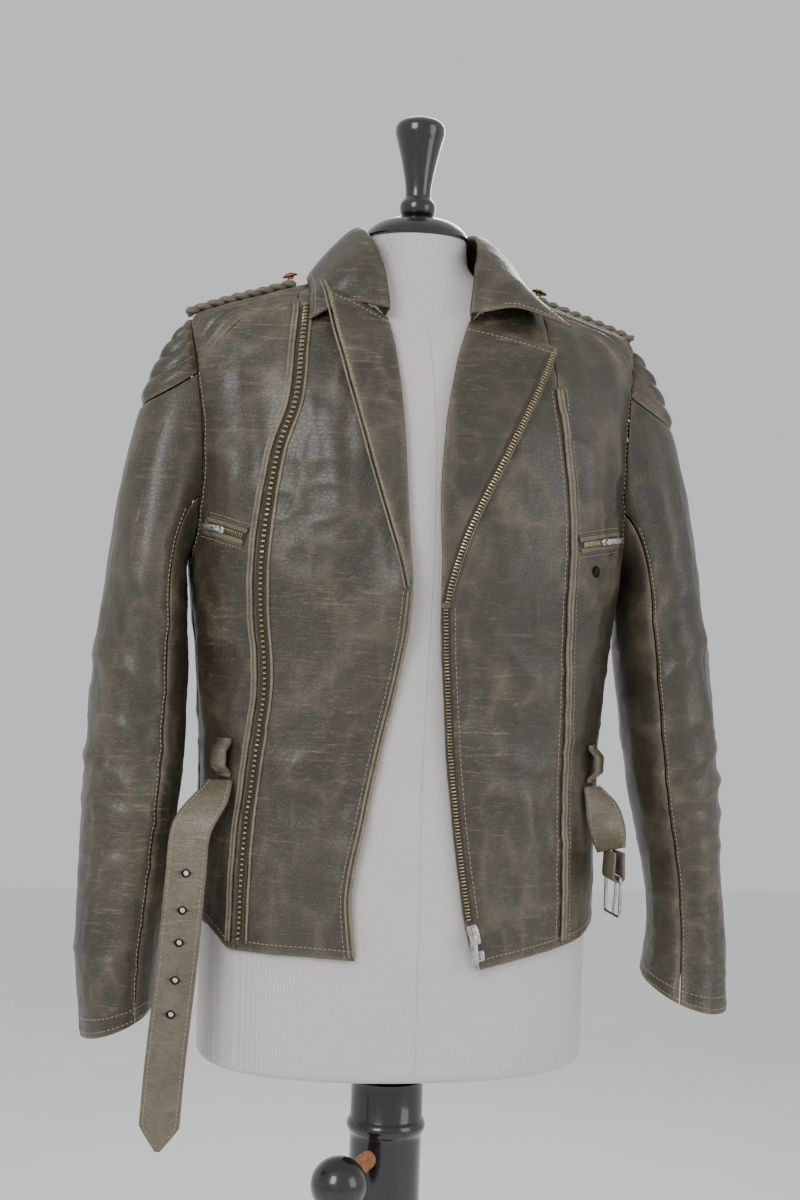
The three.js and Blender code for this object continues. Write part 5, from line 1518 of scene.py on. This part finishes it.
def ring_at(name, centre, axis, radius, wire, material):
    bpy.ops.object.select_all(action="DESELECT")
    bpy.ops.mesh.primitive_torus_add(major_radius=radius * MM, minor_radius=wire * MM,
                                     major_segments=28, minor_segments=10)
    ring = bpy.context.object
    ring.name = ring.data.name = name
    set_on(ring.data, centre, axis)
    ring.data.materials.append(material)
    bpy.ops.object.shade_smooth()
    return ring


def bored(piece, holes):
    """Cuts round holes: each is a centre, an axis and a radius in mm"""
    cutters = []
    for centre, axis, radius in holes:
        bpy.ops.object.select_all(action="DESELECT")
        bpy.ops.mesh.primitive_cylinder_add(vertices=24, radius=radius * MM, depth=20 * MM)
        cutter = bpy.context.object
        set_on(cutter.data, centre, axis)
        cutters.append(cutter)
    for cutter in cutters:
        pick_only(piece)
        cut = piece.modifiers.new("hole", "BOOLEAN")
        cut.operation, cut.object, cut.solver = "DIFFERENCE", cutter, "EXACT"
        bpy.ops.object.modifier_apply(modifier=cut.name)
        bpy.data.objects.remove(cutter)


holes, rings = [], []
for x, z in EYELETS:
    centre, across, up = frame_near(long_frames, z)
    holes.append((centre, up, 2.4))
    rings.append(ring_at("eyelet", centre + up * 1.6, up, 3.1, 0.8, snap_metal))
    rings.append(ring_at("eyelet", centre - up * 1.6, up, 3.1, 0.8, snap_metal))
bored(long_strap, holes)
fit(joined("belt_eyelets", rings), "form", "nickel")


def strap_edge_lines(frames, inset, last=None):
    points, across, up, width = (part[:last] for part in frames)
    return [(points + across * (side * (width / 2 - inset))[:, None] + up * 1.75, up)
            for side in (-1, 1)]


stitches("belt_topstitch", strap_edge_lines(long_frames, 3.4, -8)
         + strap_edge_lines(short_frames, 3.4, -2), 4.2, 3.0, 0.45)

# %% Belt at the back, and its loops
def back_band(name, phi_from, phi_to, middle, width, out, node):
    phi = np.linspace(phi_from, phi_to, 120)
    places = pairs(phi, middle)
    points, across, up = frames_of(skin(places, np.full(120, out + BELT_THICK / 2)),
                                   section_normal(places))
    piece = loft(name, points, across, up, strap_outline(), strap_leather, np.full(120, width),
                 STRAP_WEAR)
    fit(piece, "form", "leather", node)
    return points, across, up, np.full(120, width)


back_frames = back_band("belt_back_band", 112 * DEG, 248 * DEG, BELT_Z, BELT_WIDTH, ON_STRIP,
                        "belt_back")
stitches("belt_back_topstitch", strap_edge_lines(back_frames, 3.4), 4.2, 3.0, 0.45)


def belt_loop(name, phi, width, heights, clear, node):
    z = np.linspace(heights[0], heights[-1], 40)
    order = np.argsort(heights)
    out = np.interp(z, np.array(heights)[order], np.array(clear)[order])
    places = pairs(phi, z)
    points, across, up = frames_of(skin(places, ON_STRIP + out, 0.6), section_normal(places))
    outline = [(math.copysign(0.5, x), y) for x, y in round_bar(1.0, 1.8, 0, 0.1)]
    piece = loft(name, points, across, up, outline, trim_leather, np.full(40, width), 0.45)
    return fit(piece, "form", "leather", node)


BACK_LOOP_WIDTH = 120
SIDE_LOOP_WIDTH = 2 * 3.2 * DEG * 160
high = BELT_THICK + 1
for word, degrees in (("left", 150), ("right", 210)):
    half = BACK_LOOP_WIDTH / 2 / float(np.linalg.norm(section(pairs(degrees * DEG, BELT_Z))))
    z_rows = [BELT_Z + dz for dz in (-32, -26, -20, 20, 26, 32)]
    phi = np.linspace(degrees * DEG - half, degrees * DEG + half, 40)[None]
    z = np.linspace(z_rows[0], z_rows[-1], 44)[:, None]
    out = ON_STRIP + np.interp(z, z_rows, [0.2, 0.2, high, high, 0.2, 0.2])
    places = pairs(phi, z)
    distance = edge_distance(section(places))
    outer = skin(places, out + 1.8 - 0.6 * roll_down(distance), 0.8)
    piece = shell(f"back_loop_{word}", outer, skin(places, out, 0.8),
                  wear_of(section(places), distance), trim_leather)
    fit(piece, "form", "leather", f"loop_back_{word}")
for word, side in (("right", -1), ("left", 1)):
    belt_loop(f"side_loop_{word}", side * 62 * DEG, SIDE_LOOP_WIDTH,
              [1080, 1076, 1069, 1055, 1049, 1045], [0.3, 1, 8, 8, 1, 0.3], f"loop_{word}")
print("belt length:", round(length_of(long_frames[0])), round(length_of(back_frames[0])), "mm")

# %% Buckle and the fold that holds it
BUCKLE_X, BUCKLE_Y, BUCKLE_TOP, BUCKLE_LOW, BUCKLE_HALF = 190, -84, 962, 926, 22
fold_path = [(-4.2, 20), (-4.4, 10), (-4.9, 1), (-4.3, -4.4), (0, -6.6), (4.3, -4.4), (4.9, 1),
             (4.4, 10), (4.2, 20)]
fold_line = evenly([[BUCKLE_X + x, BUCKLE_Y, BUCKLE_TOP + 2 + z] for x, z in fold_path], 60)
fold_across = np.repeat([[0.0, 1.0, 0.0]], 60, 0)
fold_up = unit(np.cross(unit(np.gradient(fold_line, axis=0)), fold_across))
keeper = loft("buckle_fold", fold_line, fold_across, fold_up,
              [(x, y * 0.8) for x, y in strap_outline()], strap_leather, np.full(60, 34.0), 0.4)
fit(keeper, "form", "leather", "buckle_keeper")

corner = 3.0
frame_corners = []
for sy, sz, start in ((1, 1, 0), (-1, 1, 90), (-1, -1, 180), (1, -1, 270)):
    cy = BUCKLE_Y + sy * (BUCKLE_HALF - corner)
    cz = (BUCKLE_TOP + BUCKLE_LOW) / 2 + sz * ((BUCKLE_TOP - BUCKLE_LOW) / 2 - corner)
    for a in range(0, 91, 15):
        frame_corners.append([BUCKLE_X, cy + corner * math.cos((start + a) * DEG),
                              cz + corner * math.sin((start + a) * DEG)])
loop = np.array(frame_corners + frame_corners[:2], float)
around = unit(np.gradient(loop, axis=0))
flat_side = np.repeat([[1.0, 0.0, 0.0]], len(loop), 0)
frame_bar = loft("buckle_bar", loop, flat_side, unit(np.cross(around, flat_side)),
                 circle(1.6, 12), silver_metal)
prong_line = evenly([[BUCKLE_X + 2.6, BUCKLE_Y, BUCKLE_TOP - 6], [BUCKLE_X + 2.4, BUCKLE_Y, 945],
                     [BUCKLE_X + 0.6, BUCKLE_Y, BUCKLE_LOW]], 20)
prong = loft("buckle_prong", prong_line, np.repeat([[0.0, 1.0, 0.0]], 20, 0),
             np.repeat([[1.0, 0.0, 0.0]], 20, 0), circle(1.3, 10), silver_metal)
fit(joined("buckle_and_prong", [frame_bar, prong]), "buckle", "nickel", "buckle_frame")

# %% [markdown]
# An epaulette here is a plaited cord of three strands along the shoulder.
# In a plait each strand swings from side to side and dips under at every crossing,
# so it follows one sine sideways and one of twice the pace upwards.

# %% Plaited epaulettes
BRAID_REACH = 4.9
BRAID_RISE = 1.5
STRAND_RADIUS = 3.05
BRAID_PERIOD = 36
YOKE_OUT = HIDE + 0.8 + 2.4 + LAY
BRAID_OUT = YOKE_OUT - 1.7 + 4.6


def epaulette(side, word):
    rows = [skin_flat(side * 88 * DEG, 1464) + [side * 8, 0, -3]]
    rows += [skin_flat(side * degrees * DEG, z) for degrees, z in
             ((88, 1467), (88, 1476), (88, 1485), (86, 1493))]
    line = evenly(rows, 240)
    along = unit(np.gradient(line, axis=0))
    across = np.repeat([[0.0, 1.0, 0.0]], len(line), 0)
    up = unit(np.cross(along, across))
    up = np.where(up[:, 2:] < 0, -up, up)
    middle = line + up * BRAID_OUT
    run = np.linspace(0, length_of(line), len(line))
    strands = []
    for k in range(3):
        turn = 2 * math.pi * (run / BRAID_PERIOD + k / 3)
        points = (middle + across * (BRAID_REACH * np.sin(turn))[:, None]
                  + up * (BRAID_RISE * np.sin(2 * turn))[:, None])
        frames = frames_of(points, up)
        strands.append(loft(f"strand_{k}", *frames, circle(STRAND_RADIUS, 12), trim_leather,
                            wear=0.55))
    braid = joined(f"braid_{word}", strands)
    fit(braid, "form", "leather", f"epaulette_{word}")
    print(braid.name, "length:", round(float(run[-1])), "mm")


def skin_flat(phi, z):
    place = np.array([[phi, z]])
    point = section(place)
    return (point + section_normal(place) * fold_height(point)[:, None])[0]


epaulette(-1, "right")
epaulette(1, "left")

# %% [markdown]
# Turned pieces, such as the black neck cap, are spun from half of their outline.
# Blender's spin turns a row of edges round the upright axis; doubles are then merged.

# %% Turned pieces
def turned(name, rows, material, steps=56, place=None, axis=None):
    """rows are [radius, height] in mm, from the axis round to the axis again"""
    mesh = bpy.data.meshes.new(name)
    points = [(r * MM, 0, z * MM) for r, z in rows]
    mesh.from_pydata(points, [(k, k + 1) for k in range(len(points) - 1)], [])
    piece = bpy.data.objects.new(name, mesh)
    bpy.context.collection.objects.link(piece)
    pick_only(piece)
    bpy.ops.object.mode_set(mode="EDIT")
    bpy.ops.mesh.select_all(action="SELECT")
    bpy.ops.mesh.spin(steps=steps, angle=2 * math.pi, center=(0, 0, 0), axis=(0, 0, 1))
    bpy.ops.mesh.select_all(action="SELECT")
    bpy.ops.mesh.remove_doubles(threshold=0.00001)
    bpy.ops.mesh.normals_make_consistent(inside=False)
    bpy.ops.object.mode_set(mode="OBJECT")
    if place is not None:
        set_on(mesh, place, axis)
    mesh.materials.append(material)
    bpy.ops.object.shade_smooth_by_angle(angle=math.radians(38))
    return piece


def rounded_rows(rows, parts=5):
    """A smooth outline through the given rows, which keeps its first and last"""
    return curve_at(rows, np.linspace(0, 1, parts * (len(rows) - 1) + 1)).tolist()


NECK_TOP = 1549
cap_rows = [[0, NECK_TOP + 0.3], [46.5, NECK_TOP + 0.3], [48.6, 1550.6], [49, 1552]]
cap_rows += rounded_rows([[49, 1552], [46.6, 1557], [39, 1564], [25, 1569.5], [14.2, 1572]])[1:]
cap_rows += rounded_rows([[13, 1572.6], [15.6, 1575], [17, 1579.5], [16.4, 1585], [13.2, 1589.6]])
cap_rows += rounded_rows([[12.2, 1591], [12, 1597], [13.6, 1609], [17, 1626], [21, 1642],
                          [23.4, 1651], [23.6, 1656]])
cap_rows += rounded_rows([[23.5, 1657.4], [21.5, 1661], [16, 1664.6], [8, 1666.6], [0, 1667]])
cap = turned("turned_neck_cap", cap_rows, black_lacquer, 72)
fit(cap, "form", "black_wood", "neck_cap")

BUTTON_HEIGHT = 1492.5
for word, side, metal_kind in (("right", -1, copper_metal), ("left", 1, bronze_metal)):
    place = np.array([[side * 86 * DEG, BUTTON_HEIGHT]])
    out = YOKE_OUT - 1.7 + 9.2 + 0.3
    at = skin_flat(side * 86 * DEG, BUTTON_HEIGHT) + section_normal(place)[0] * out
    rows = [[0, 0], [3, 0], [3, 2]] + rounded_rows([[5.8, 2.1], [7.1, 2.5], [7.5, 3.2], [7.1, 3.9],
                                                     [6.2, 4.1]], 3)
    rows += rounded_rows([[5.8, 3.9], [4.6, 5.0], [2.6, 5.9], [0, 6.2]], 4)
    button = turned(f"domed_button_{word}", rows, metal_kind, 36, at, section_normal(place)[0])
    fit(button, "form", "copper", f"button_{word}")

# %% Stand
BORE = 16.4
plate_rows = [[0, 0], [199, 0], [200, 1], [200, 9]] + rounded_rows([[200, 9.6], [198.6, 12.4],
                                                                    [196, 14]], 4)
plate_rows += rounded_rows([[196, 14], [160, 19.6], [120, 24], [90, 27.6], [60, 30]], 4)[1:] + [[0, 30]]
fit(turned("turned_base_plate", plate_rows, black_lacquer, 96), "stand", "black_wood", "base_plate")
flange_rows = [[BORE, 779.7], [BORE, 755.3], [30, 755.3]] + rounded_rows(
    [[30, 755.3], [34, 757.6], [36, 763], [36.4, 769], [36, 775], [34, 779.7]])[1:] + [[BORE, 779.7]]
fit(turned("turned_flange", flange_rows, black_lacquer), "form", "black_wood", "form_flange")
column_rows = [[BORE, 755], [BORE, 30.3], [60, 30.3]] + rounded_rows(
    [[60, 30.3], [61, 37], [59, 45], [46, 60], [38, 74], [34, 90]])[1:]
column_rows += [[34, 700]] + rounded_rows([[34, 704], [36.4, 708], [37.4, 712], [36.4, 716],
                                           [34, 720]]) + [[34, 755], [BORE, 755]]
column = turned("turned_column", column_rows, black_lacquer, 72)
CLAMP_OUT = unit(np.array([-0.62, -0.76, -0.19]))
CLAMP_SEAT = np.array([0, 0, 692.0])
SCREW_BORE = 8.8
bored(column, [(CLAMP_SEAT + CLAMP_OUT * 32, CLAMP_OUT, SCREW_BORE)])
fit(column, "stand", "black_wood", "stand_column")
SCREW_START, THREADS, THREAD_PITCH = 18.4, 28, 2
thread_rows = [[0, SCREW_START]]
for k in range(THREADS):
    z = SCREW_START + 0.2 + THREAD_PITCH * k
    thread_rows += [[7.4, z], [8.4, z + 0.7], [8.4, z + 1.1], [7.4, z + 1.8]]
thread_rows.append([0, SCREW_START + 55.6])
screw = turned("clamp_thread", thread_rows, bare_dowel, 28, CLAMP_SEAT, CLAMP_OUT)
fit(screw, "clamp", "pale_wood", "clamp_screw")

# %% [markdown]
# Each chest pocket is a slit between two narrow rolled lips, closed by a small zip.
# The lips are round bars of hide, and the teeth lie between them on a strip of tape.

# %% Chest pockets
LIP_OUTLINE = round_bar(4.6, 2.1, -0.6, 0.48)


def pocket(word, inner, outer):
    inner, outer = np.array(inner, float), np.array(outer, float)
    path = [inner + (outer - inner) * t for t in (0, 0.33, 0.66, 1)]
    lips = []
    for side in (-1, 1):
        frames = run_on_front(path, 2.0, ON_STRIP, shift=side * 5.2)
        lips.append(loft(f"lip_{side}", *frames, LIP_OUTLINE, trim_leather, wear=0.5))
        cord = run_on_front(path, 2.0, HIDE + 0.3, shift=side * 8.2)
        lips.append(loft(f"cord_{side}", *cord, circle(0.8, 8), trim_leather, wear=0.4))
    bed = loft("bed", *run_on_front(path, 2.0, HIDE + 0.1), round_bar(9, 0.9), tape_cloth)
    fit(bed, "form", "leather")
    bed.name = bed.data.name = f"pocket_bed_{word}"
    fit(joined(f"pocket_lips_{word}", lips), "form", "leather", f"pocket_frame_{word}")
    zip_path = [inner + (outer - inner) * t for t in (0.06, 0.35, 0.65, 0.94)]
    run = run_on_front(zip_path, 2.0, ON_STRIP + 0.2)
    fit(teeth(f"pocket_teeth_{word}", run, 2.3, (-2.4, 2.4), 2.2), "form", "zip_teeth",
        f"pocket_zip_{word}")
    around = [line_on_front(path, HIDE + 0.15, shift=side * 11) for side in (-1, 1)]
    stitches(f"pocket_stitch_{word}", around, 3.6, 2.5, 0.36)


POCKETS = (("right", (-161, 1260), (-193, 1271)), ("left", (138, 1264), (184, 1272)))
for word, inner, outer in POCKETS:
    pocket(word, inner, outer)

# %% [markdown]
# A slider is a small wedge with a bridge on top, and its pull is a flat tab with an eye.
# A tab starts as a bevelled plate; its eye is cut through with a boolean.

# %% Pulls and sliders
EYE_EDGE = 1.6
PULL_THICK = 1.4
PULL_EYE = 1.2


def plate_between(name, start, end, up, width, thick, eye):
    """A bevelled plate from start to end, mm; eye is the radius of a hole near its end"""
    start, end, up = (np.asarray(v, float) for v in (start, end, up))
    along = unit(end - start)
    across = unit(np.cross(up, along))
    rise = unit(np.cross(along, across))
    length = float(np.linalg.norm(end - start))
    bpy.ops.object.select_all(action="DESELECT")
    bpy.ops.mesh.primitive_cube_add(size=1)
    plate = bpy.context.object
    plate.name = plate.data.name = name
    plate.data.transform(Matrix.Diagonal((width * MM, length * MM, thick * MM, 1)))
    bevel = plate.modifiers.new("rim", "BEVEL")
    bevel.width = thick * 0.3 * MM
    bevel.segments = 3
    bevel.limit_method = "ANGLE"
    bpy.ops.object.modifier_apply(modifier=bevel.name)
    basis = Matrix([[*across], [*along], [*rise]]).transposed().to_4x4()
    middle = (start + end) / 2
    plate.data.transform(Matrix.Translation(Vector(middle) * MM) @ basis)
    plate.data.materials.append(silver_metal)
    bored(plate, [(end - along * (eye + EYE_EDGE), rise, eye)])
    pick_only(plate)
    bpy.ops.object.shade_smooth_by_angle(angle=math.radians(35))
    return plate


def pull_on(node, width):
    """A pull in the place of its plain bar, along the bar's longest direction"""
    corners = np.array([v.co for v in frame["nodes"][node].data.vertices], float) / MM
    middle = corners.mean(0)
    spread = np.linalg.svd(corners - middle)[2]
    reach = (corners - middle) @ spread[0]
    start, end = middle + spread[0] * reach.min(), middle + spread[0] * reach.max()
    hinge = next(j for j in frame["joints"] if j["child"] == node)
    pin = np.array(hinge["pos_m"]) / MM
    if np.linalg.norm(end - pin) < np.linalg.norm(start - pin):
        start, end = end, start
    tab = plate_between(f"{node}_tab", start, end, spread[2], width, PULL_THICK, PULL_EYE)
    fit(tab, node, "nickel", node)


for node in ("pocket_pull_right", "pocket_pull_left", "cuff_pull_right", "cuff_pull_left"):
    pull_on(node, 5.4)
pull_on("main_pull", 7.0)


def slider(name, path, nodes, width, thick, out):
    frames = run_on_front(path, 1.5, out)
    count = len(frames[0])
    share = np.linspace(0, 1, count)
    taper = 1 - 0.28 * share ** 2 - 0.25 * (1 - share) ** 6
    body = loft(name + "_body", *frames, round_bar(width, thick * 0.55, 0, 0.4), silver_metal, taper)
    points, across, up = frames
    bridge_line = points[1:-1] + up[1:-1] * (thick * 0.5
                                             + thick * 0.38 * np.sin(math.pi * share[1:-1]))[:, None]
    bridge = loft(name + "_bridge", bridge_line, across[1:-1], up[1:-1], circle(1.2, 10), silver_metal)
    return fit(joined(name, [body, bridge]), "form", "nickel", *nodes)


slider("main_zip_slider", [[45.5, 922], [48, 914.5], [51.5, 905]], ["main_slider"], 11, 6, ON_STRIP)
slider("zip_pin_box", [[54, 899], [55, 894.5], [56, 890]], ["zip_box"], 9, 4, ON_STRIP)
for word, inner, outer in POCKETS:
    path = np.array(inner) + np.outer([0.5, 0.64, 0.78], np.subtract(outer, inner))
    slider(f"pocket_slider_{word}", path, [], 7, 5.5, ON_STRIP + 1.0)

# %% [markdown]
# At each cuff a zip runs up the back seam. The left one is open, over a lined gusset.
# The teeth follow the sleeve's own surface, so they bend with the cuff.

# %% Cuff zips
CUFF_PSI = -QUILT_END * (1 + CAP_GAP) - PSI_GAP / 2
OPEN_EDGE = 3.5 * DEG
for word, surface, spread in (("right", right_sleeve, 0.0), ("left", left_sleeve, CUFF_SPREAD)):
    v = np.linspace(4.78, 5.97, 60)
    beside = OPEN_EDGE if spread else 0.0
    psi = CUFF_PSI + beside + spread_at(spread, v)
    normals = surface.normal(psi, v)
    frames = frames_of(surface.at(psi, v, LAY), normals)
    fit(teeth(f"cuff_teeth_{word}", frames, 3.1, (-2.2, 2.2), 2.4), "form", "zip_teeth",
        f"cuff_zip_{word}")
    tape = loft(f"cuff_tape_{word}", *frames_of(surface.at(psi, v, 0.0), normals),
                round_bar(10, 0.6), tape_cloth)
    fit(tape, "form", "leather")
    if spread:
        other = CUFF_PSI - beside - spread_at(spread, v)
        normals = surface.normal(other, v)
        far = frames_of(surface.at(other, v, LAY), normals)
        fit(teeth("cuff_teeth_left_far", far, 3.1, (-2.2, 2.2), 2.2), "form", "zip_teeth")
    for k, shift in enumerate((-1, 1)):
        line = psi + shift * 7.5 / 55
        cord = frames_of(surface.at(line, v, 0.7), surface.normal(line, v))
        piping(f"cuff_piping_{word}_{k}", cord, 1.1)

# %% [markdown]
# The dress form is covered in linen, drawn tight and sewn up the middle of the front.
# It is one smooth closed body here, drawn in from the jacket's own sections.
# Its seams are shallow grooves, and the one in front has a fine ridge along it.

# %% Dress form
FORM_INSET = profile([[780, 4], [1380, 4.5], [1425, 4.2], [1440, 3.4], [1456, 2.5], [1466, 2.1],
                      [1478, 1.7], [1500, 1.7], [1515, 2.6], [1530, 3.5], [1560, 3.5]])
FORM_COLUMNS = 160
FORM_FOOT = 780
FORM_NECK_SEAM = 1465
SIDE_SEAM_X = 95


def groove(distance, width=0.9, depth=0.7):
    return depth * np.exp(-(distance / width) ** 2)


def bust():
    heights = np.concatenate([FORM_FOOT + np.array([0, 0.4, 1.5, 3.5, 6]),
                              np.linspace(790, 1440, 132), np.linspace(1444, 1548, 72),
                              [NECK_TOP]])
    phi = 2 * math.pi * (np.arange(FORM_COLUMNS) + 0.5) / FORM_COLUMNS
    places = pairs(phi[None], heights[:, None])
    points = section(places)
    upper_back = (points[..., 1] >= 0) & (places[..., 1] > 1400) & (places[..., 1] < 1490)
    back = np.where(upper_back, 1.3, 0)
    foot = 6.0 * np.clip((FORM_FOOT + 6 - heights) / 6, 0, 1) ** 2
    neck_seam = groove(heights - FORM_NECK_SEAM - 4.0)[:, None] * np.ones(FORM_COLUMNS)
    side_seam = SIDE_SEAM_X - 0.02 * (points[..., 2] - ARMPIT)
    hips = np.minimum(np.abs(np.abs(points[..., 0]) - side_seam), 60)
    seams = (groove(points[..., 0], 1.6, 0.5)
             + np.where(heights[:, None] < FORM_NECK_SEAM, groove(hips, 1.6, 0.4), 0))
    inset = FORM_INSET(heights)[:, None] + back + foot[:, None] + 0.6 * neck_seam + seams
    surface = points - section_normal(places) * inset[..., None]
    flat = (heights < FORM_FOOT + 1) | (heights > 1530)
    surface[flat, :, 2] = heights[flat, None]
    rows, cols = surface.shape[:2]
    faces = [(i * cols + j, i * cols + (j + 1) % cols, (i + 1) * cols + (j + 1) % cols,
              (i + 1) * cols + j) for i in range(rows - 1) for j in range(cols)]
    faces.append(tuple(range(cols))[::-1])
    faces.append(tuple((rows - 1) * cols + j for j in range(cols)))
    piece = make_mesh("linen_bust", surface.reshape(-1, 3), faces, linen_cloth)
    fit(piece, "form", "linen", "form_bust")
    front_line = [i for i in range(rows) if heights[i] < FORM_NECK_SEAM - 2]
    middle = surface[front_line][:, 0] * 0.5 + surface[front_line][:, -1] * 0.5
    seam = frames_of(middle[3:], np.repeat([[0.0, -1.0, 0.0]], len(front_line) - 3, 0))
    ridge = loft("linen_front_seam", *seam, circle(0.55, 6, (0, 0.1)), linen_cloth)
    fit(ridge, "form", "linen")


bust()

# %% [markdown]
# The clamp's knob is a turned ball with a short neck, bored for its wooden screw.
# It is spun from half of its outline, as the cap is.

# %% Knob
KNOB, KNOB_REACH, KNOB_NECK, SOCKET_END = 26, 88, 11.5, -13.7
knob_foot = -math.sqrt(KNOB ** 2 - KNOB_NECK ** 2)
knob_rows = [[0, SOCKET_END], [SCREW_BORE, SOCKET_END], [SCREW_BORE, knob_foot + 0.4],
             [KNOB_NECK - 1, knob_foot]]
for share in np.linspace(0, 1, 26):
    angle = math.asin(knob_foot / KNOB) * (1 - share) + math.pi / 2 * share
    knob_rows.append([KNOB * math.cos(angle), KNOB * math.sin(angle)])
knob_rows = knob_rows[:-1] + [[0, KNOB]]
knob = turned("turned_knob", knob_rows, black_lacquer,
              place=CLAMP_SEAT + CLAMP_OUT * KNOB_REACH, axis=CLAMP_OUT)
fit(knob, "clamp", "black_wood", "clamp_knob")

# %% [markdown]
# The studio is a pale sweep under broad soft lights, as in a catalogue picture.
# Large area lights give leather its long soft highlights without hard shadows.

# %% Studio
floor_material, floor_shader, floor_where = start_material("studio_floor", Roughness=0.9)
plug(floor_shader, Base_Color=noise(floor_where, 3.0, 2.0).mixed(linear(238, 238, 238),
                                                                 linear(245, 245, 245)))
bpy.ops.object.select_all(action="DESELECT")
bpy.ops.mesh.primitive_plane_add(size=12, location=(0, 0, 0))
floor = bpy.context.object
floor.name = "studio_sweep"
floor.data.materials.append(floor_material)
bpy.ops.object.transform_apply(location=True)
floor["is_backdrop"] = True

world = bpy.data.worlds.new("studio_air")
world.use_nodes = True
world.node_tree.nodes["Background"].inputs["Color"].default_value = (0.93, 0.94, 0.95, 1)
world.node_tree.nodes["Background"].inputs["Strength"].default_value = 0.75
bpy.context.scene.world = world


def soft_light(name, place, target, size, watts):
    data = bpy.data.lights.new(name, "AREA")
    data.shape = "RECTANGLE"
    data.size, data.size_y = size
    data.energy = watts
    lamp = bpy.data.objects.new(name, data)
    lamp.location = place
    heading = Vector(target) - Vector(place)
    lamp.rotation_euler = heading.to_track_quat("-Z", "Y").to_euler()
    bpy.context.collection.objects.link(lamp)


soft_light("key_light", (-1.7, -2.2, 2.5), (0, 0, 1.2), (1.1, 1.6), 42)
soft_light("fill_light", (2.3, -1.9, 1.7), (0, 0, 1.1), (1.4, 1.8), 18)
soft_light("rim_light", (0.9, 2.2, 2.4), (0, 0, 1.3), (1.2, 1.2), 26)

# %% Sizes and finish
visual_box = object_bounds()
as_lists = lambda box: [[float(value) for value in corner] for corner in box]
{"cad": as_lists(cad_box), "visual": as_lists(visual_box)}
print("sizes:", as_lists(cad_box), as_lists(visual_box))
